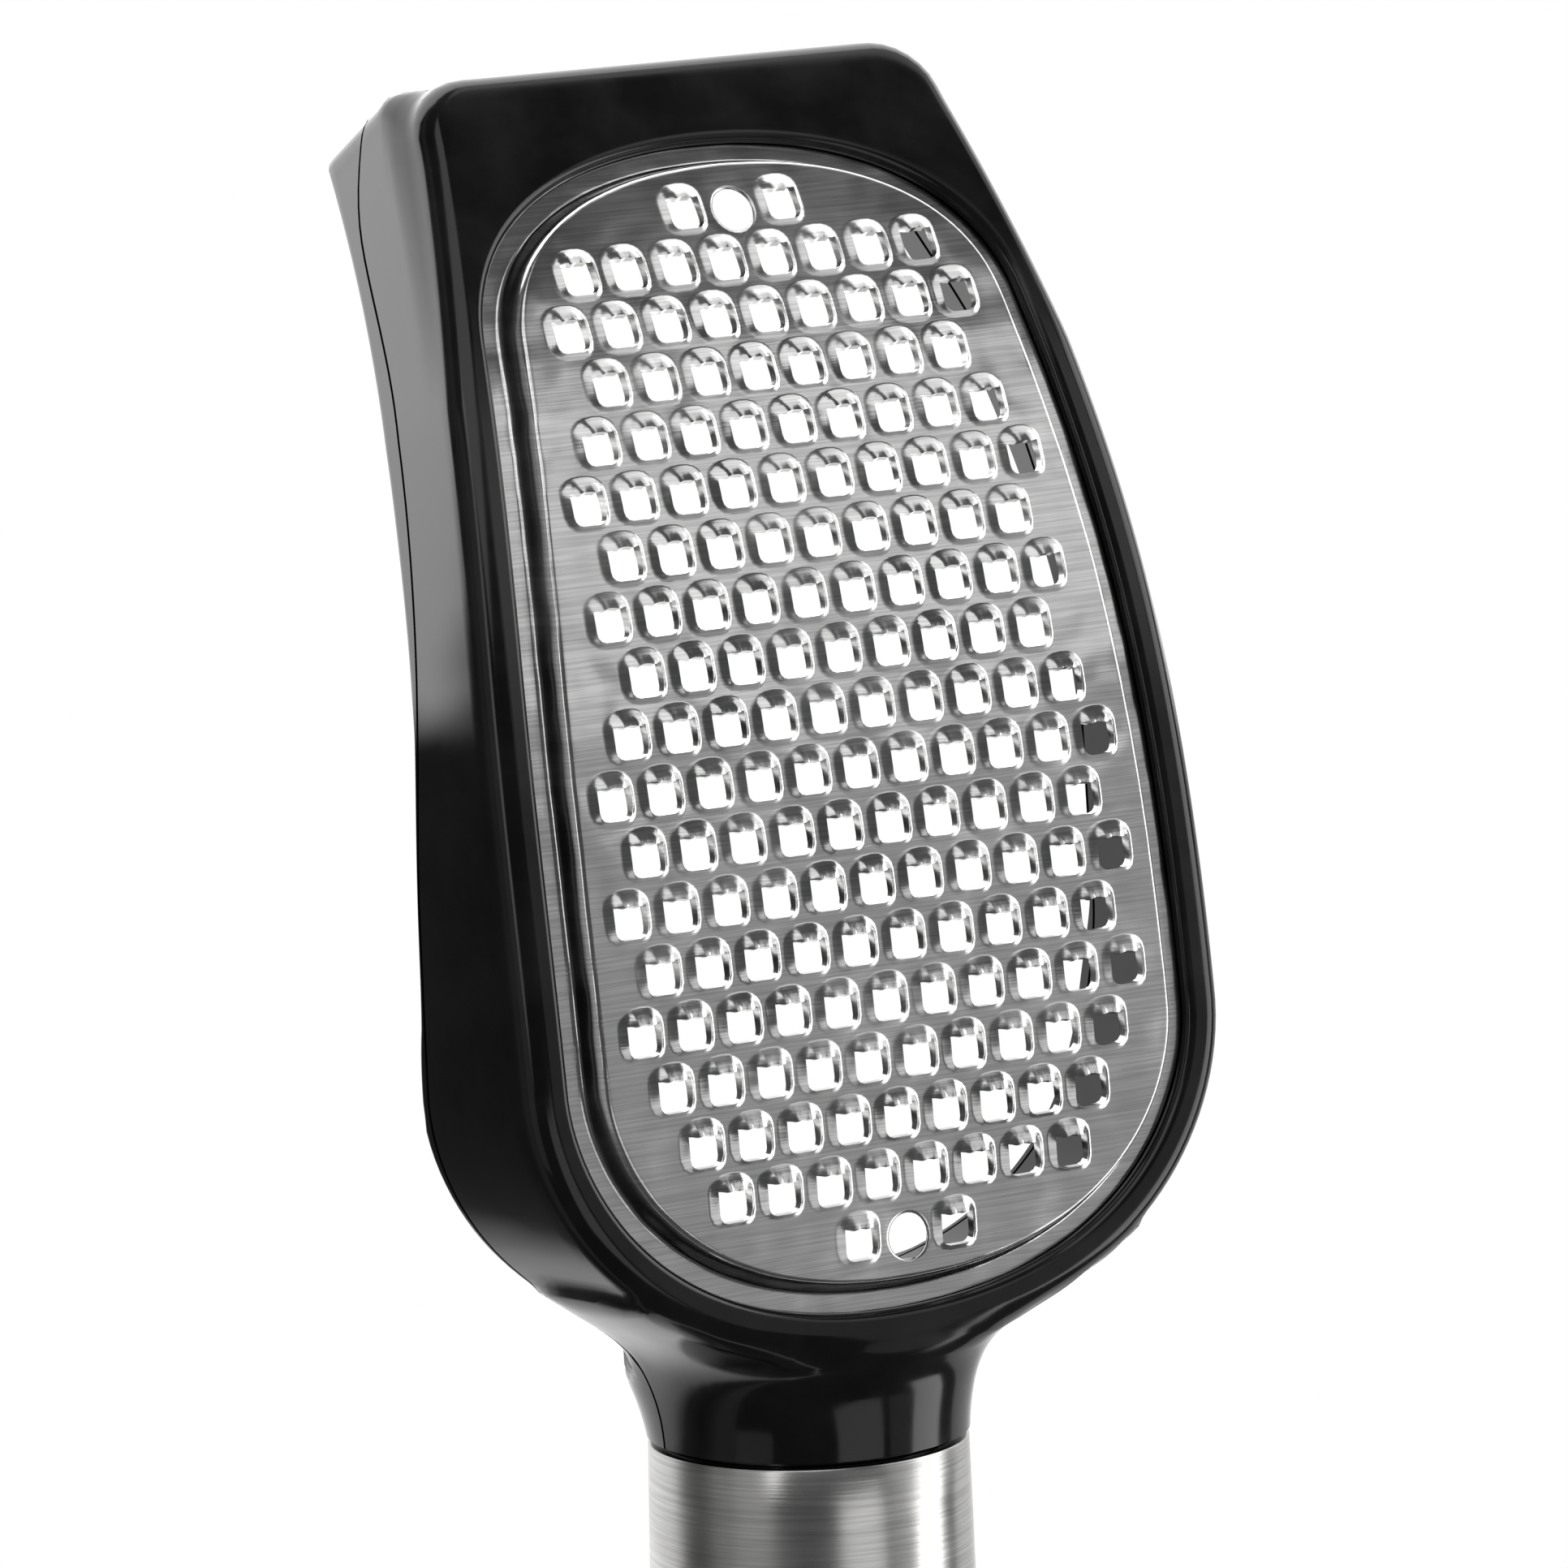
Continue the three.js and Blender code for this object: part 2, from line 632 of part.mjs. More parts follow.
function gratingPlateGeometry() {
  const { shares, meets } = panelShares();
  const loop = (outwards) =>
    shares.map((share, i) => {
      const place = edgePoint(share, outwards);
      return i === 0 || i === shares.length - 1 ? point(0, place.y) : place;
    });
  const panel = loop(-PANEL_INSET);
  const levels = meets.map((share) => edgePoint(share, -PANEL_INSET).y);
  const thin = SHEET_THICKNESS * 0.5;
  const rings = [
    raised(mirrored(panel), PANEL_HEIGHT),
    raised(mirrored(loop(-FLANGE_SHOWN)), FLANGE_HEIGHT),
    raised(mirrored(loop(FLANGE_HELD)), FLANGE_HEIGHT),
    raised(mirrored(loop(FLANGE_HELD)), FLANGE_HEIGHT - SHEET_THICKNESS),
    raised(mirrored(loop(-FLANGE_SHOWN - thin)), FLANGE_HEIGHT - SHEET_THICKNESS),
    raised(mirrored(panel), PANEL_HEIGHT - SHEET_THICKNESS),
  ];
  const corners = panelFace(panel, levels, PANEL_HEIGHT, 0);
  for (let i = 0; i + 1 < rings.length; i += 1) {
    corners.push(...ribbon(closed(rings[i + 1]), closed(rings[i])));
  }
  corners.push(...panelFace(panel, levels, PANEL_HEIGHT - SHEET_THICKNESS, HOOD_SLOPE).reverse());
  const tooth = toothFaces();
  const rim = closed(locatingOutline());
  const locating = ribbon(raised(rim, PANEL_HEIGHT), raised(rim, PANEL_HEIGHT - SHEET_THICKNESS));
  for (let row = 0; row < ROWS; row += 1) {
    toothPlaces(row).forEach((x) => {
      const faces = holdsLocatingHole(row) && x === 0 ? locating : tooth;
      const place = new THREE.Vector3(x, rowHeight(row), 0);
      corners.push(...faces.map((corner) => corner.clone().add(place)));
    });
  }
  return new THREE.BufferGeometry().setFromPoints(corners.map(bendPoint));
}

// Handle

const TUBE_TOP = -COLLAR_GAP;
const TUBE_BOTTOM = TUBE_TOP - TUBE_LENGTH;

function tubeRadius(y) {
  const share = (2 * (y - TUBE_BOTTOM)) / TUBE_LENGTH - 1;
  return TUBE_END_RADIUS + TUBE_BULGE_HEIGHT * (1 - share * share);
}

function handleTubeGeometry() {
  const steps = 6;
  const outside = [];
  const inside = [];
  for (let i = 0; i <= steps; i += 1) {
    const y = TUBE_BOTTOM + (TUBE_LENGTH * i) / steps;
    outside.push([tubeRadius(y), y]);
    inside.unshift([tubeRadius(y) - TUBE_WALL, y]);
  }
  return geometryOf(revolve([...outside, ...inside, outside[0]], 36));
}

function endCapGeometry() {
  const seat = TUBE_BOTTOM - COLLAR_GAP;
  const tip = seat - CAP_LENGTH;
  const tipCentre = tip + CAP_TIP_RADIUS;
  const dome = new THREE.CubicBezierCurve(
    point(TUBE_END_RADIUS, seat - CAP_SHOULDER_LENGTH),
    point(TUBE_END_RADIUS, tipCentre),
    point(CAP_TIP_RADIUS, tip),
    point(0, tip),
  ).getPoints(8);
  const body = revolve(
    [
      ...dome.toReversed().map((place) => [place.x, place.y]),
      [TUBE_END_RADIUS, seat],
      [PLUG_RADIUS, seat],
      [PLUG_RADIUS, TUBE_BOTTOM + CAP_PLUG_LENGTH - PLUG_CHAMFER_WIDTH],
      [PLUG_RADIUS - PLUG_CHAMFER_WIDTH, TUBE_BOTTOM + CAP_PLUG_LENGTH],
      [0, TUBE_BOTTOM + CAP_PLUG_LENGTH],
    ],
    36,
  );
  const flat = CAP_TONGUE_THICKNESS / 2;
  const scoopStart = seat - CAP_SHOULDER_LENGTH;
  const scoop = new THREE.QuadraticBezierCurve(
    point(scoopStart, TUBE_END_RADIUS),
    point(scoopStart - CAP_SHOULDER_LENGTH, flat),
    point(tipCentre, flat),
  ).getPoints(6);
  const cut = [...scoop.toReversed(), point(scoopStart, FAR), point(-FAR, FAR), point(-FAR, flat)];
  const front = acrossHead(cut);
  const back = acrossHead(cut.map((place) => point(place.x, -place.y)));
  const eye = new THREE.CylinderGeometry(EYE_RADIUS, EYE_RADIUS, CAP_TONGUE_THICKNESS * 2, 24);
  eye.rotateX(Math.PI / 2).translate(0, tip + EYE_FROM_TIP, 0);
  return geometryOf(body.subtract(front).subtract(back).subtract(solid(eye)));
}

// Materials

function gloss() {
  return new THREE.MeshStandardMaterial({ color: 0x0b0b0c, roughness: 0.18, metalness: 0 });
}

function brushedSteel() {
  return new THREE.MeshStandardMaterial({ color: 0xb9b8b5, roughness: 0.34, metalness: 1 });
}

function polishedSteel() {
  return new THREE.MeshStandardMaterial({ color: 0xc4c4c2, roughness: 0.22, metalness: 1 });
}

// Assembly

function piece(name, geometry, material) {
  geometry.computeVertexNormals();
  const mesh = new THREE.Mesh(geometry, material);
  mesh.name = name;
  return mesh;
}

const head = new THREE.Group();
head.add(piece("front_shell", frontShellGeometry(), gloss()));
head.add(piece("back_shell", backShellGeometry(), gloss()));
head.add(piece("grating_plate", gratingPlateGeometry(), polishedSteel()));

const handle = new THREE.Group();
handle.add(piece("handle_tube", handleTubeGeometry(), brushedSteel()));
handle.add(piece("end_cap", endCapGeometry(), gloss()));

const grater = new THREE.Group();
grater.add(head, handle);

const lowest = (group) => new THREE.Box3().setFromObject(group, true).min.z;

// The grater lies on the back edge of its head and on the end of its handle.
function layDown() {
  let low = -0.2;
  let high = 0.2;
  for (let i = 0; i < 40; i += 1) {
    grater.rotation.x = (low + high) / 2;
    grater.updateMatrixWorld(true);
    if (lowest(head) < lowest(handle)) low = grater.rotation.x;
    else high = grater.rotation.x;
  }
}

layDown();
const box = new THREE.Box3().setFromObject(grater, true);
const middle = box.getCenter(new THREE.Vector3());
grater.position.set(-middle.x, -middle.y, -box.min.z);

const part = new THREE.Group();
part.add(grater);

export default part;
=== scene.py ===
"""Hand grater: the looks of every piece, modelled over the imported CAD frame.

Sizes are in metres. The head is drawn flat and then bent: in the flat drawing x runs across,
y along the handle from its collar and z forward of its axis.
"""
import math
from contextlib import contextmanager

import bpy
import numpy as np
from bpy.props import FloatProperty, FloatVectorProperty, IntProperty, PointerProperty
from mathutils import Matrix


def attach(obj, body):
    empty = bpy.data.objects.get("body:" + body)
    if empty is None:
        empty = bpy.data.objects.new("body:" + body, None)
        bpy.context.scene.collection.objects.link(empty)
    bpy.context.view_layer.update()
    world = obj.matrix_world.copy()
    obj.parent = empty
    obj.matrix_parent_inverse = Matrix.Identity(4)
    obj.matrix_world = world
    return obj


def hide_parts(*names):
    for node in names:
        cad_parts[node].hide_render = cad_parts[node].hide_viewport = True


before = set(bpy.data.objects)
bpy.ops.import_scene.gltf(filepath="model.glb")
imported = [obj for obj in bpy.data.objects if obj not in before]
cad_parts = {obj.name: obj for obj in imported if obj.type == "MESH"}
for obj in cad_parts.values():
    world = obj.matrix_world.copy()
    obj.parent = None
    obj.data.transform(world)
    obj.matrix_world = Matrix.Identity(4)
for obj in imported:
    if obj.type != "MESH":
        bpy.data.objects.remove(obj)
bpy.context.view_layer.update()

bl_info = {
    "name": "Hand grater",
    "version": (1, 0, 0),
    "blender": (4, 5, 0),
    "location": "3D View > Sidebar > Grater",
    "description": "Models a hand grater with a bent, toothed plate, piece by piece",
    "category": "Object",
}


def with_lengths(**rows):
    """Gives a property group a size in metres for every row of a default and a description."""

    def extended(group):
        for key, (default, description) in rows.items():
            group.__annotations__[key] = FloatProperty(
                name=key.replace("_", " ").capitalize(),
                description=description,
                default=default,
                unit="LENGTH",
                precision=5,
            )
        return group

    return extended


def colour(name, description, default):
    """A colour with its alpha."""
    return FloatVectorProperty(
        name=name, description=description, default=default, size=4, subtype="COLOR", min=0, max=1
    )


@with_lengths(
    panel_height=(0.0149, "Height of the plate's panel above the handle's axis"),
    lower_bend_radius=(0.260, "Bend of the head near the handle"),
    lower_bend_length=(0.063, "How far the lower bend runs along the panel"),
    upper_bend_radius=(0.125, "Bend of the head near its end"),
    opening_bottom=(0.0116, "Lowest point of the opening, from the collar"),
    opening_top=(0.1028, "Highest point of the opening, from the collar"),
    opening_half_width=(0.0282, "Half of the opening's greatest width"),
    widest_above_bottom=(0.020, "Greatest width, above the opening's bottom"),
    bottom_curve_width=(0.022, "How far the bottom's curve reaches sideways"),
    bottom_curve_height=(0.007, "How far the bottom's curve reaches down"),
    side_curve_height=(0.024, "How far the side's curve reaches"),
    shoulder_half_width=(0.0242, "Half width where the side turns in"),
    shoulder_below_top=(0.0147, "Where the side turns in"),
    shoulder_curve_height=(0.0095, "How far the shoulder's curve reaches up"),
    top_curve_width=(0.013, "How far the top's curve reaches sideways"),
    head_length=(0.1122, "From the collar to the end of the head"),
    end_draft=(0.0016, "How much shorter the front is than the back"),
    rim_width=(0.003396, "From the opening to the outer wall"),
    rim_edge_radius=(0.0018, "Rounding of the rim's outer edge"),
    back_edge_radius=(0.0008, "Rounding of the back's outer edge"),
    lip_thickness=(0.0009, "Thickness of the rim over the plate's flange"),
    lip_bevel=(0.0007, "Rounding of the lip's edge"),
    shell_wall=(0.0015, "Thickness of the outer wall"),
    bottom_wall=(0.0032, "Thickness of the outer wall round the bottom"),
    thick_wall_to=(0.0256, "Where the wall round the bottom starts to thin"),
    thin_wall_from=(0.0396, "Where the wall has thinned"),
    ledge_thickness=(0.0015, "Thickness of the ledge under the plate's flange"),
    front_corner_radius=(0.0055, "Corner of the head's end at the front"),
    front_corner_depth=(0.0024, "How far back the front corner reaches"),
    back_corner_radius=(0.002, "Corner of the head's end at the back"),
    top_half_width=(0.0239, "Half width of the head's end"),
    straight_side_from=(0.084, "Where the side stops following the opening"),
    parting_gap=(0.0003, "Gap between the two shells"),
    neck_radius=(0.0124, "Radius at the collar"),
    neck_length=(0.0152, "From the collar to the end of the flare"),
    neck_half_width=(0.0227, "Half width at the end of the flare"),
    neck_straight=(0.007, "How far the neck runs nearly straight"),
    neck_spread=(0.0002, "How much the straight run widens"),
    flare_run=(0.0063, "How far the flare's curve reaches sideways"),
    flare_rise=(0.0045, "How far the flare's curve reaches down"),
    neck_edge_radius=(0.00045, "Rounding of the back's edge where the neck joins"),
    neck_fillet=(0.0034, "Softness of the corner between neck and head"),
)
class GraterHead(bpy.types.PropertyGroup):
    """Sizes of the moulded head, in the flat drawing."""

    rest_turn: FloatProperty(
        name="Rest turn",
        description="Turn of the grater as it lies on its back",
        default=0.0595362,
        unit="ROTATION",
    )
    rest_place: FloatVectorProperty(
        name="Rest place",
        description="Place of the collar's centre as the grater lies on its back",
        default=(0, 0.0190062, 0.0195384),
        subtype="TRANSLATION",
        unit="LENGTH",
        precision=5,
    )
    side_lean: FloatProperty(
        name="Side lean", description="Slope of the side at the shoulder", default=0.14
    )
    neck_squareness: FloatProperty(
        name="Neck squareness", description="How square the neck grows towards the head", default=2
    )


@with_lengths(
    sheet=(0.0005, "Thickness of the sheet"),
    panel_rise=(0.002, "Height of the panel over its flange"),
    flange_shown=(0.0013, "Width of the flange inside the opening"),
    step_width=(0.0015, "Width of the step up to the panel"),
    flange_held=(0.0012, "Width of the flange under the lip"),
    seat_gap=(0.0002, "Gap above and below the flange"),
    tooth_pitch=(0.0044, "From tooth to tooth in a row"),
    row_pitch=(0.0044, "From row to row"),
    lowest_row=(0.0172, "First row, from the collar"),
    edge_margin=(0.001, "Least gap between a tooth and the panel's edge"),
    tooth_width=(0.0029, "Width of a tooth's hole"),
    hole_below=(0.00125, "How far the hole reaches towards the handle"),
    hole_corner=(0.00075, "Corner radius of the hole"),
    hood_start=(0.00125, "Cutting edge, above the tooth's centre"),
    hood_length=(0.00115, "From the cutting edge to the hood's far end"),
    hood_height=(0.0006, "Height of the cutting edge"),
    hood_crease=(0.0002, "Depth of the crease between the hood's two lobes"),
    lip_left=(0.0008, "Width of the raised lip on a hole's left"),
    lip_right=(0.00042, "Width of the raised lip on a hole's right"),
    lip_below=(0.0005, "Width of the raised lip below a hole"),
    lip_height=(0.0002, "Height of the raised lip round a hole"),
    locating_radius=(0.00175, "Radius of the two plain holes"),
)
class GraterPlate(bpy.types.PropertyGroup):
    """Sizes of the punched and bent plate."""

    rows: IntProperty(name="Rows", description="Number of rows of teeth", default=19)


@with_lengths(
    tube_length=(0.118, "Length of the steel tube"),
    tube_end_radius=(0.0123, "Outer radius of the tube's ends"),
    tube_bulge=(0.0006, "How much thicker the tube's middle is"),
    tube_wall=(0.0008, "Wall of the tube"),
    tube_edge=(0.0002, "Rounding of the tube's ends"),
    collar_gap=(0.0005, "Gap at both ends of the tube"),
    plug_clearance=(0.0003, "Gap between a plug and the tube"),
    plug_chamfer=(0.001, "Chamfer on the end of a plug"),
    neck_plug_length=(0.026, "Length of the tang in the tube"),
    cap_plug_length=(0.014, "Length of the cap's plug in the tube"),
    cap_length=(0.02397, "Length of the cap outside the tube"),
    cap_tip_radius=(0.0085, "Roundness of the cap's tip"),
    cap_tongue=(0.009, "Thickness of the flattened tip"),
    cap_shoulder=(0.003, "Plain length next to the tube"),
    cap_edge=(0.0006, "Rounding of the cap's edges"),
    eye_radius=(0.004, "Radius of the hanging eye"),
    eye_from_tip=(0.0085, "From the cap's tip to the eye's centre"),
)
class GraterHandle(bpy.types.PropertyGroup):
    """Sizes of the tube, the tang in it and the cap on its end."""


class GraterFinish(bpy.types.PropertyGroup):
    """Colours of the finishes."""

    plastic_dark: colour("Plastic dark", "Deepest black of the moulding", (0.004, 0.004, 0.0045, 1))
    plastic_light: colour("Plastic light", "Worn black of the moulding", (0.011, 0.011, 0.012, 1))
    plate_dark: colour("Plate dark", "Darker lines of the plate's grain", (0.51, 0.51, 0.505, 1))
    plate_light: colour("Plate light", "Lighter lines of the plate's grain", (0.65, 0.65, 0.645, 1))
    tube_dark: colour("Tube dark", "Darker lines of the tube's grain", (0.50, 0.495, 0.485, 1))
    tube_light: colour("Tube light", "Lighter lines of the tube's grain", (0.64, 0.635, 0.62, 1))


@with_lengths(floor_size=(6.0, "Side of the floor"))
class GraterStage(bpy.types.PropertyGroup):
    """Floor, lights and camera."""

    floor_colour: colour("Floor colour", "Colour of the floor", (1, 1, 1, 1))
    lens: FloatProperty(name="Lens", description="Focal length of the camera", default=242.236)
    camera_place: FloatVectorProperty(
        name="Camera place",
        description="Where the camera stands",
        default=(-0.440566, 0.1572311, 0.6838986),
        subtype="TRANSLATION",
        unit="LENGTH",
        precision=5,
    )
    camera_turn: FloatVectorProperty(
        name="Camera turn",
        description="How the camera is turned",
        default=(-0.0673014, -0.5930338, -0.0780158),
        subtype="EULER",
        precision=5,
    )


def sizes():
    """The sizes of the head, the plate and the handle."""
    scene = bpy.context.scene
    return scene.grater_head, scene.grater_plate, scene.grater_handle


# Curves


def bezier(points, steps):
    """Points of a cubic curve with four given handles."""
    a, b, c, d = np.array(points, float)
    t = np.linspace(0, 1, steps)[:, None]
    return (1 - t) ** 3 * a + 3 * (1 - t) ** 2 * t * b + 3 * (1 - t) * t**2 * c + t**3 * d


def spline(points, steps):
    """Points of a smooth curve through the given ones."""
    points = np.array(points, float)
    last = len(points) - 1
    made = []
    for share in np.linspace(0, 1, steps):
        index = min(int(share * last), last - 1)
        t = share * last - index
        p0, p1 = points[max(index - 1, 0)], points[index]
        p2, p3 = points[index + 1], points[min(index + 2, last)]
        v0, v1 = (p2 - p0) / 2, (p3 - p1) / 2
        cubic, square = 2 * p1 - 2 * p2 + v0 + v1, 3 * p2 - 3 * p1 - 2 * v0 - v1
        made.append(cubic * t**3 + square * t**2 + v0 * t + p1)
    return np.array(made)


def ease(t):
    """A soft step from 0 to 1."""
    t = np.clip(t, 0, 1)
    return t * t * (3 - 2 * t)


def at_height(places, z):
    """Places of the flat drawing at a height."""
    return np.column_stack([places, np.broadcast_to(z, len(places))])


def mirrored(half):
    """A ring from its right-hand half, from the bottom to the top. The first point closes it."""
    left = half[..., 1:-1, :][..., ::-1, :] * (-1, 1, 1)
    return np.concatenate([half, left, half[..., :1, :]], axis=-2)


def boundary(inside, low, high):
    """Where a test that holds at the low values stops holding on the way to the high ones."""
    for _ in range(40):
        middle = (low + high) / 2
        holds = inside(middle)
        low, high = np.where(holds, middle, low), np.where(holds, high, middle)
    return middle


class OpeningEdge:
    """The right-hand edge of the opening, from its bottom to its top."""

    def __init__(self, head):
        top, wide = head.opening_top, head.opening_half_width
        widest = head.opening_bottom + head.widest_above_bottom
        corner, height = head.shoulder_half_width, top - head.shoulder_below_top
        lower = [
            (0, head.opening_bottom),
            (head.bottom_curve_width, head.opening_bottom),
            (wide, widest - head.bottom_curve_height),
            (wide, widest),
        ]
        side = [
            (wide, widest),
            (wide, widest + head.side_curve_height),
            (corner + head.side_lean * head.side_curve_height, height - head.side_curve_height),
            (corner, height),
        ]
        upper = [
            (corner, height),
            (corner - head.side_lean * head.shoulder_curve_height, height + head.shoulder_curve_height),
            (head.top_curve_width, top),
            (0, top),
        ]
        runs = [bezier(lower, 300), bezier(side, 300)[1:], bezier(upper, 300)[1:]]
        self.points = np.vstack(runs)
        steps = np.linalg.norm(np.diff(self.points, axis=0), axis=1)
        walked = np.concatenate([[0], np.cumsum(steps)])
        self.total = walked[-1]
        self.share = walked / self.total
        self.way = np.gradient(self.points, walked, axis=0)
        self.way[[0, -1]] = (1, 0), (-1, 0)

    def at(self, share, outwards=0.0):
        """Points of the edge by their share of its length, moved outwards."""
        place = np.column_stack([np.interp(share, self.share, self.points[:, i]) for i in (0, 1)])
        way = np.column_stack([np.interp(share, self.share, self.way[:, i]) for i in (0, 1)])
        way /= np.linalg.norm(way, axis=1)[:, None]
        return place + np.column_stack([way[:, 1], -way[:, 0]]) * outwards

    def share_at(self, y, outwards=0.0):
        """Where the edge, moved outwards, reaches a given height."""
        return np.interp(y, self.at(self.share, outwards)[:, 1], self.share)


# Smallest lengths: for points that are one, and for a soft corner that has gone
SAME_POINT, TINY = 1e-6, 1e-7


class HeadShape:
    """The shape of the head in the flat drawing, and its bend."""

    # Rays round the opening, and where those of the collar and the neck end along its edge
    COLLAR_RAYS, NECK_RAYS, BLENDED_RAYS, WALL_RAYS = 30, 24, 14, 106
    COLLAR_END, NECK_END = 0.0088, 0.0235
    # Parting line and back edge: share of the head's length and height in millimetres
    PARTING = (0, -1.3), (0.196, -1.3), (0.401, 0.8), (0.579, 4), (0.758, 4.8), (0.918, 3.4), (1, 7.4)
    BACK = (0, -2.1), (0.267, -2.1), (0.374, -0.1), (0.535, 2.3), (0.713, 2.3), (0.847, 1.4), (1, -0.3)
    # Length that the rays allow for a corner of the head's end, and its least radius
    CORNER_RUN, LEAST_CORNER = 0.0086, 0.0002
    # The neck's front and back stay inside the head's
    FRONT_INSET, BACK_INSET = 0.0007, 0.0004
    # How fast the neck's front rises, where its underside rises, and where it ends in the head
    FRONT_RISE, UNDERSIDE_FROM, UNDERSIDE_RUN, NECK_STOP = 1.6, 0.004, 0.0105, 0.0145
    # How far outside the rim the soft corner reaches its full size
    FILLET_RUN = 0.0024

    def __init__(self):
        self.head, plate, _ = sizes()
        head = self.head
        self.edge = OpeningEdge(head)
        self.flange = head.panel_height - plate.panel_rise
        self.lip = self.flange + plate.seat_gap
        self.face = self.lip + head.lip_thickness
        self.slot = plate.flange_held + plate.seat_gap
        self.ledge_top = self.flange - plate.sheet - plate.seat_gap
        self.ledge_bottom = self.ledge_top - head.ledge_thickness
        self.front_end = head.head_length - head.end_draft, head.front_corner_radius
        self.parting_line = spline(self.PARTING, 200) * (head.head_length, 0.001)
        self.back_line = spline(self.BACK, 200) * (head.head_length, 0.001)
        self.neck_back = self.back_line[0, 1] + self.BACK_INSET
        self.joined = self.edge.share_at(head.straight_side_from, head.rim_width)
        self.neck_line = bezier(
            [
                (head.neck_radius, 0),
                (head.neck_radius + head.neck_spread, head.neck_straight),
                (head.neck_half_width - head.flare_run, head.neck_length - head.flare_rise),
                (head.neck_half_width, head.neck_length),
            ],
            200,
        )
        collar_end, neck_end = self.COLLAR_END / self.edge.total, self.NECK_END / self.edge.total
        self.shares = np.concatenate(
            [
                np.linspace(0, collar_end, self.COLLAR_RAYS + 1),
                np.linspace(collar_end, neck_end, self.NECK_RAYS + 1)[1:],
                np.linspace(neck_end, 1, self.WALL_RAYS + 1)[1:],
            ]
        )
        self.blended = self.COLLAR_RAYS + self.NECK_RAYS + self.BLENDED_RAYS
        outline = self.outline(np.linspace(0, 1, 240), 0, *self.front_end)
        self.around = np.vstack([outline, outline[1:-1][::-1] * (-1, 1)])

    def parting(self, y):
        """Height of the line between the two shells."""
        return np.interp(y, *self.parting_line.T)

    def back(self, y):
        """Height of the head's back."""
        return np.interp(y, *self.back_line.T)

    def outline(self, share, inset, top, corner):
        """The head's outline, moved inwards: along the opening, then straight to its square top."""
        head = self.head
        made = self.edge.at(np.minimum(share, self.joined), head.rim_width - inset)
        start = self.edge.at([self.joined], head.rim_width - inset)[0]
        radius = max(corner - inset, self.LEAST_CORNER)
        centre = np.array([head.top_half_width - inset - radius, top - inset - radius])
        turn_from = centre + (radius, 0)
        runs = np.array([np.linalg.norm(turn_from - start), self.CORNER_RUN, centre[0]])
        first, second = np.cumsum(runs / runs.sum())[:2]
        beyond = (np.asarray(share) - self.joined) / (1 - self.joined)
        for i in np.flatnonzero(beyond > 0):
            t = beyond[i]
            if t < first:
                made[i] = start + (turn_from - start) * t / first
            elif t < second:
                angle = (t - first) / (second - first) * math.pi / 2
                made[i] = centre + radius * np.array([math.cos(angle), math.sin(angle)])
            else:
                made[i] = centre[0] * (1 - t) / (1 - second), top - inset
        return made

    def front_outline(self, inset):
        """The outline of the front at every ray."""
        return self.outline(self.shares, inset, *self.front_end)

    def back_outline(self, inset):
        """The outline of the back at every ray."""
        return self.outline(self.shares, inset, self.head.head_length, self.head.back_corner_radius)

    def hollow(self, outwards=0.0):
        """The outline of the open inside at every ray: the wall is thicker round the bottom."""
        head = self.head
        thin = self.front_outline(head.shell_wall - outwards)
        thick = self.edge.at(self.shares, head.rim_width - head.bottom_wall + outwards)
        height = self.edge.at(self.shares)[:, 1]
        share = ease((height - head.thick_wall_to) / (head.thin_wall_from - head.thick_wall_to))
        share[self.shares > self.joined] = 1
        return thick + (thin - thick) * share[:, None]

    def wall(self, z, inset=0.0):
        """The outer wall at the given height of every ray."""
        head = self.head
        front = self.front_outline(inset)
        back = self.back_outline(inset)
        middle = head.head_length - head.end_draft / 2
        sharp = self.outline(self.shares, inset, middle, head.back_corner_radius)
        front_z = self.face - head.rim_edge_radius
        sharp_z = front_z - head.front_corner_depth
        back_z = self.back(back[:, 1]) + head.back_edge_radius
        near = ease((front_z - z) / (front_z - sharp_z))[:, None]
        far = np.clip((sharp_z - z) / (sharp_z - back_z), 0, 1)[:, None]
        return at_height(front + (sharp - front) * near + (back - sharp) * far, z)

    def outside_distance(self, x, y):
        """Distance outside the head's outline, negative inside it."""
        a = self.around
        b = np.roll(a, -1, axis=0)
        point = np.column_stack([x, y])[:, None]
        along = np.clip(((point - a) * (b - a)).sum(-1) / ((b - a) ** 2).sum(-1), 0, 1)
        gap = np.linalg.norm(a + (b - a) * along[..., None] - point, axis=-1).min(axis=1)
        level = (a[:, 1] > y[:, None]) != (b[:, 1] > y[:, None])
        rise = np.where(b[:, 1] == a[:, 1], 1, b[:, 1] - a[:, 1])
        crossing = a[:, 0] + (y[:, None] - a[:, 1]) * (b[:, 0] - a[:, 0]) / rise
        inside = (level & (x[:, None] < crossing)).sum(axis=1) % 2 == 1
        return np.where(inside, -gap, gap)

    def neck_field(self, x, y, z):
        """How far points are outside the neck, round at the collar and squarer towards the head."""
        head = self.head
        share = np.interp(y, self.neck_line[:, 1], np.linspace(0, 1, len(self.neck_line)))
        half = np.interp(y, self.neck_line[:, 1], self.neck_line[:, 0])
        rise = self.face - self.FRONT_INSET - head.neck_radius
        front = head.neck_radius + rise * np.minimum(1, self.FRONT_RISE * share)
        under = ease((y - self.UNDERSIDE_FROM) / self.UNDERSIDE_RUN)
        back = -head.neck_radius + (self.neck_back + head.neck_radius) * under
        middle, tall = (front + back) / 2, (front - back) / 2
        power = 2 + head.neck_squareness * np.where(z > middle, share**3, share)
        reach = (np.abs(x / half) ** power + np.abs((z - middle) / tall) ** power) ** (1 / power)
        return (reach - 1) * np.minimum(half, tall) + np.maximum(y - self.NECK_STOP, 0)

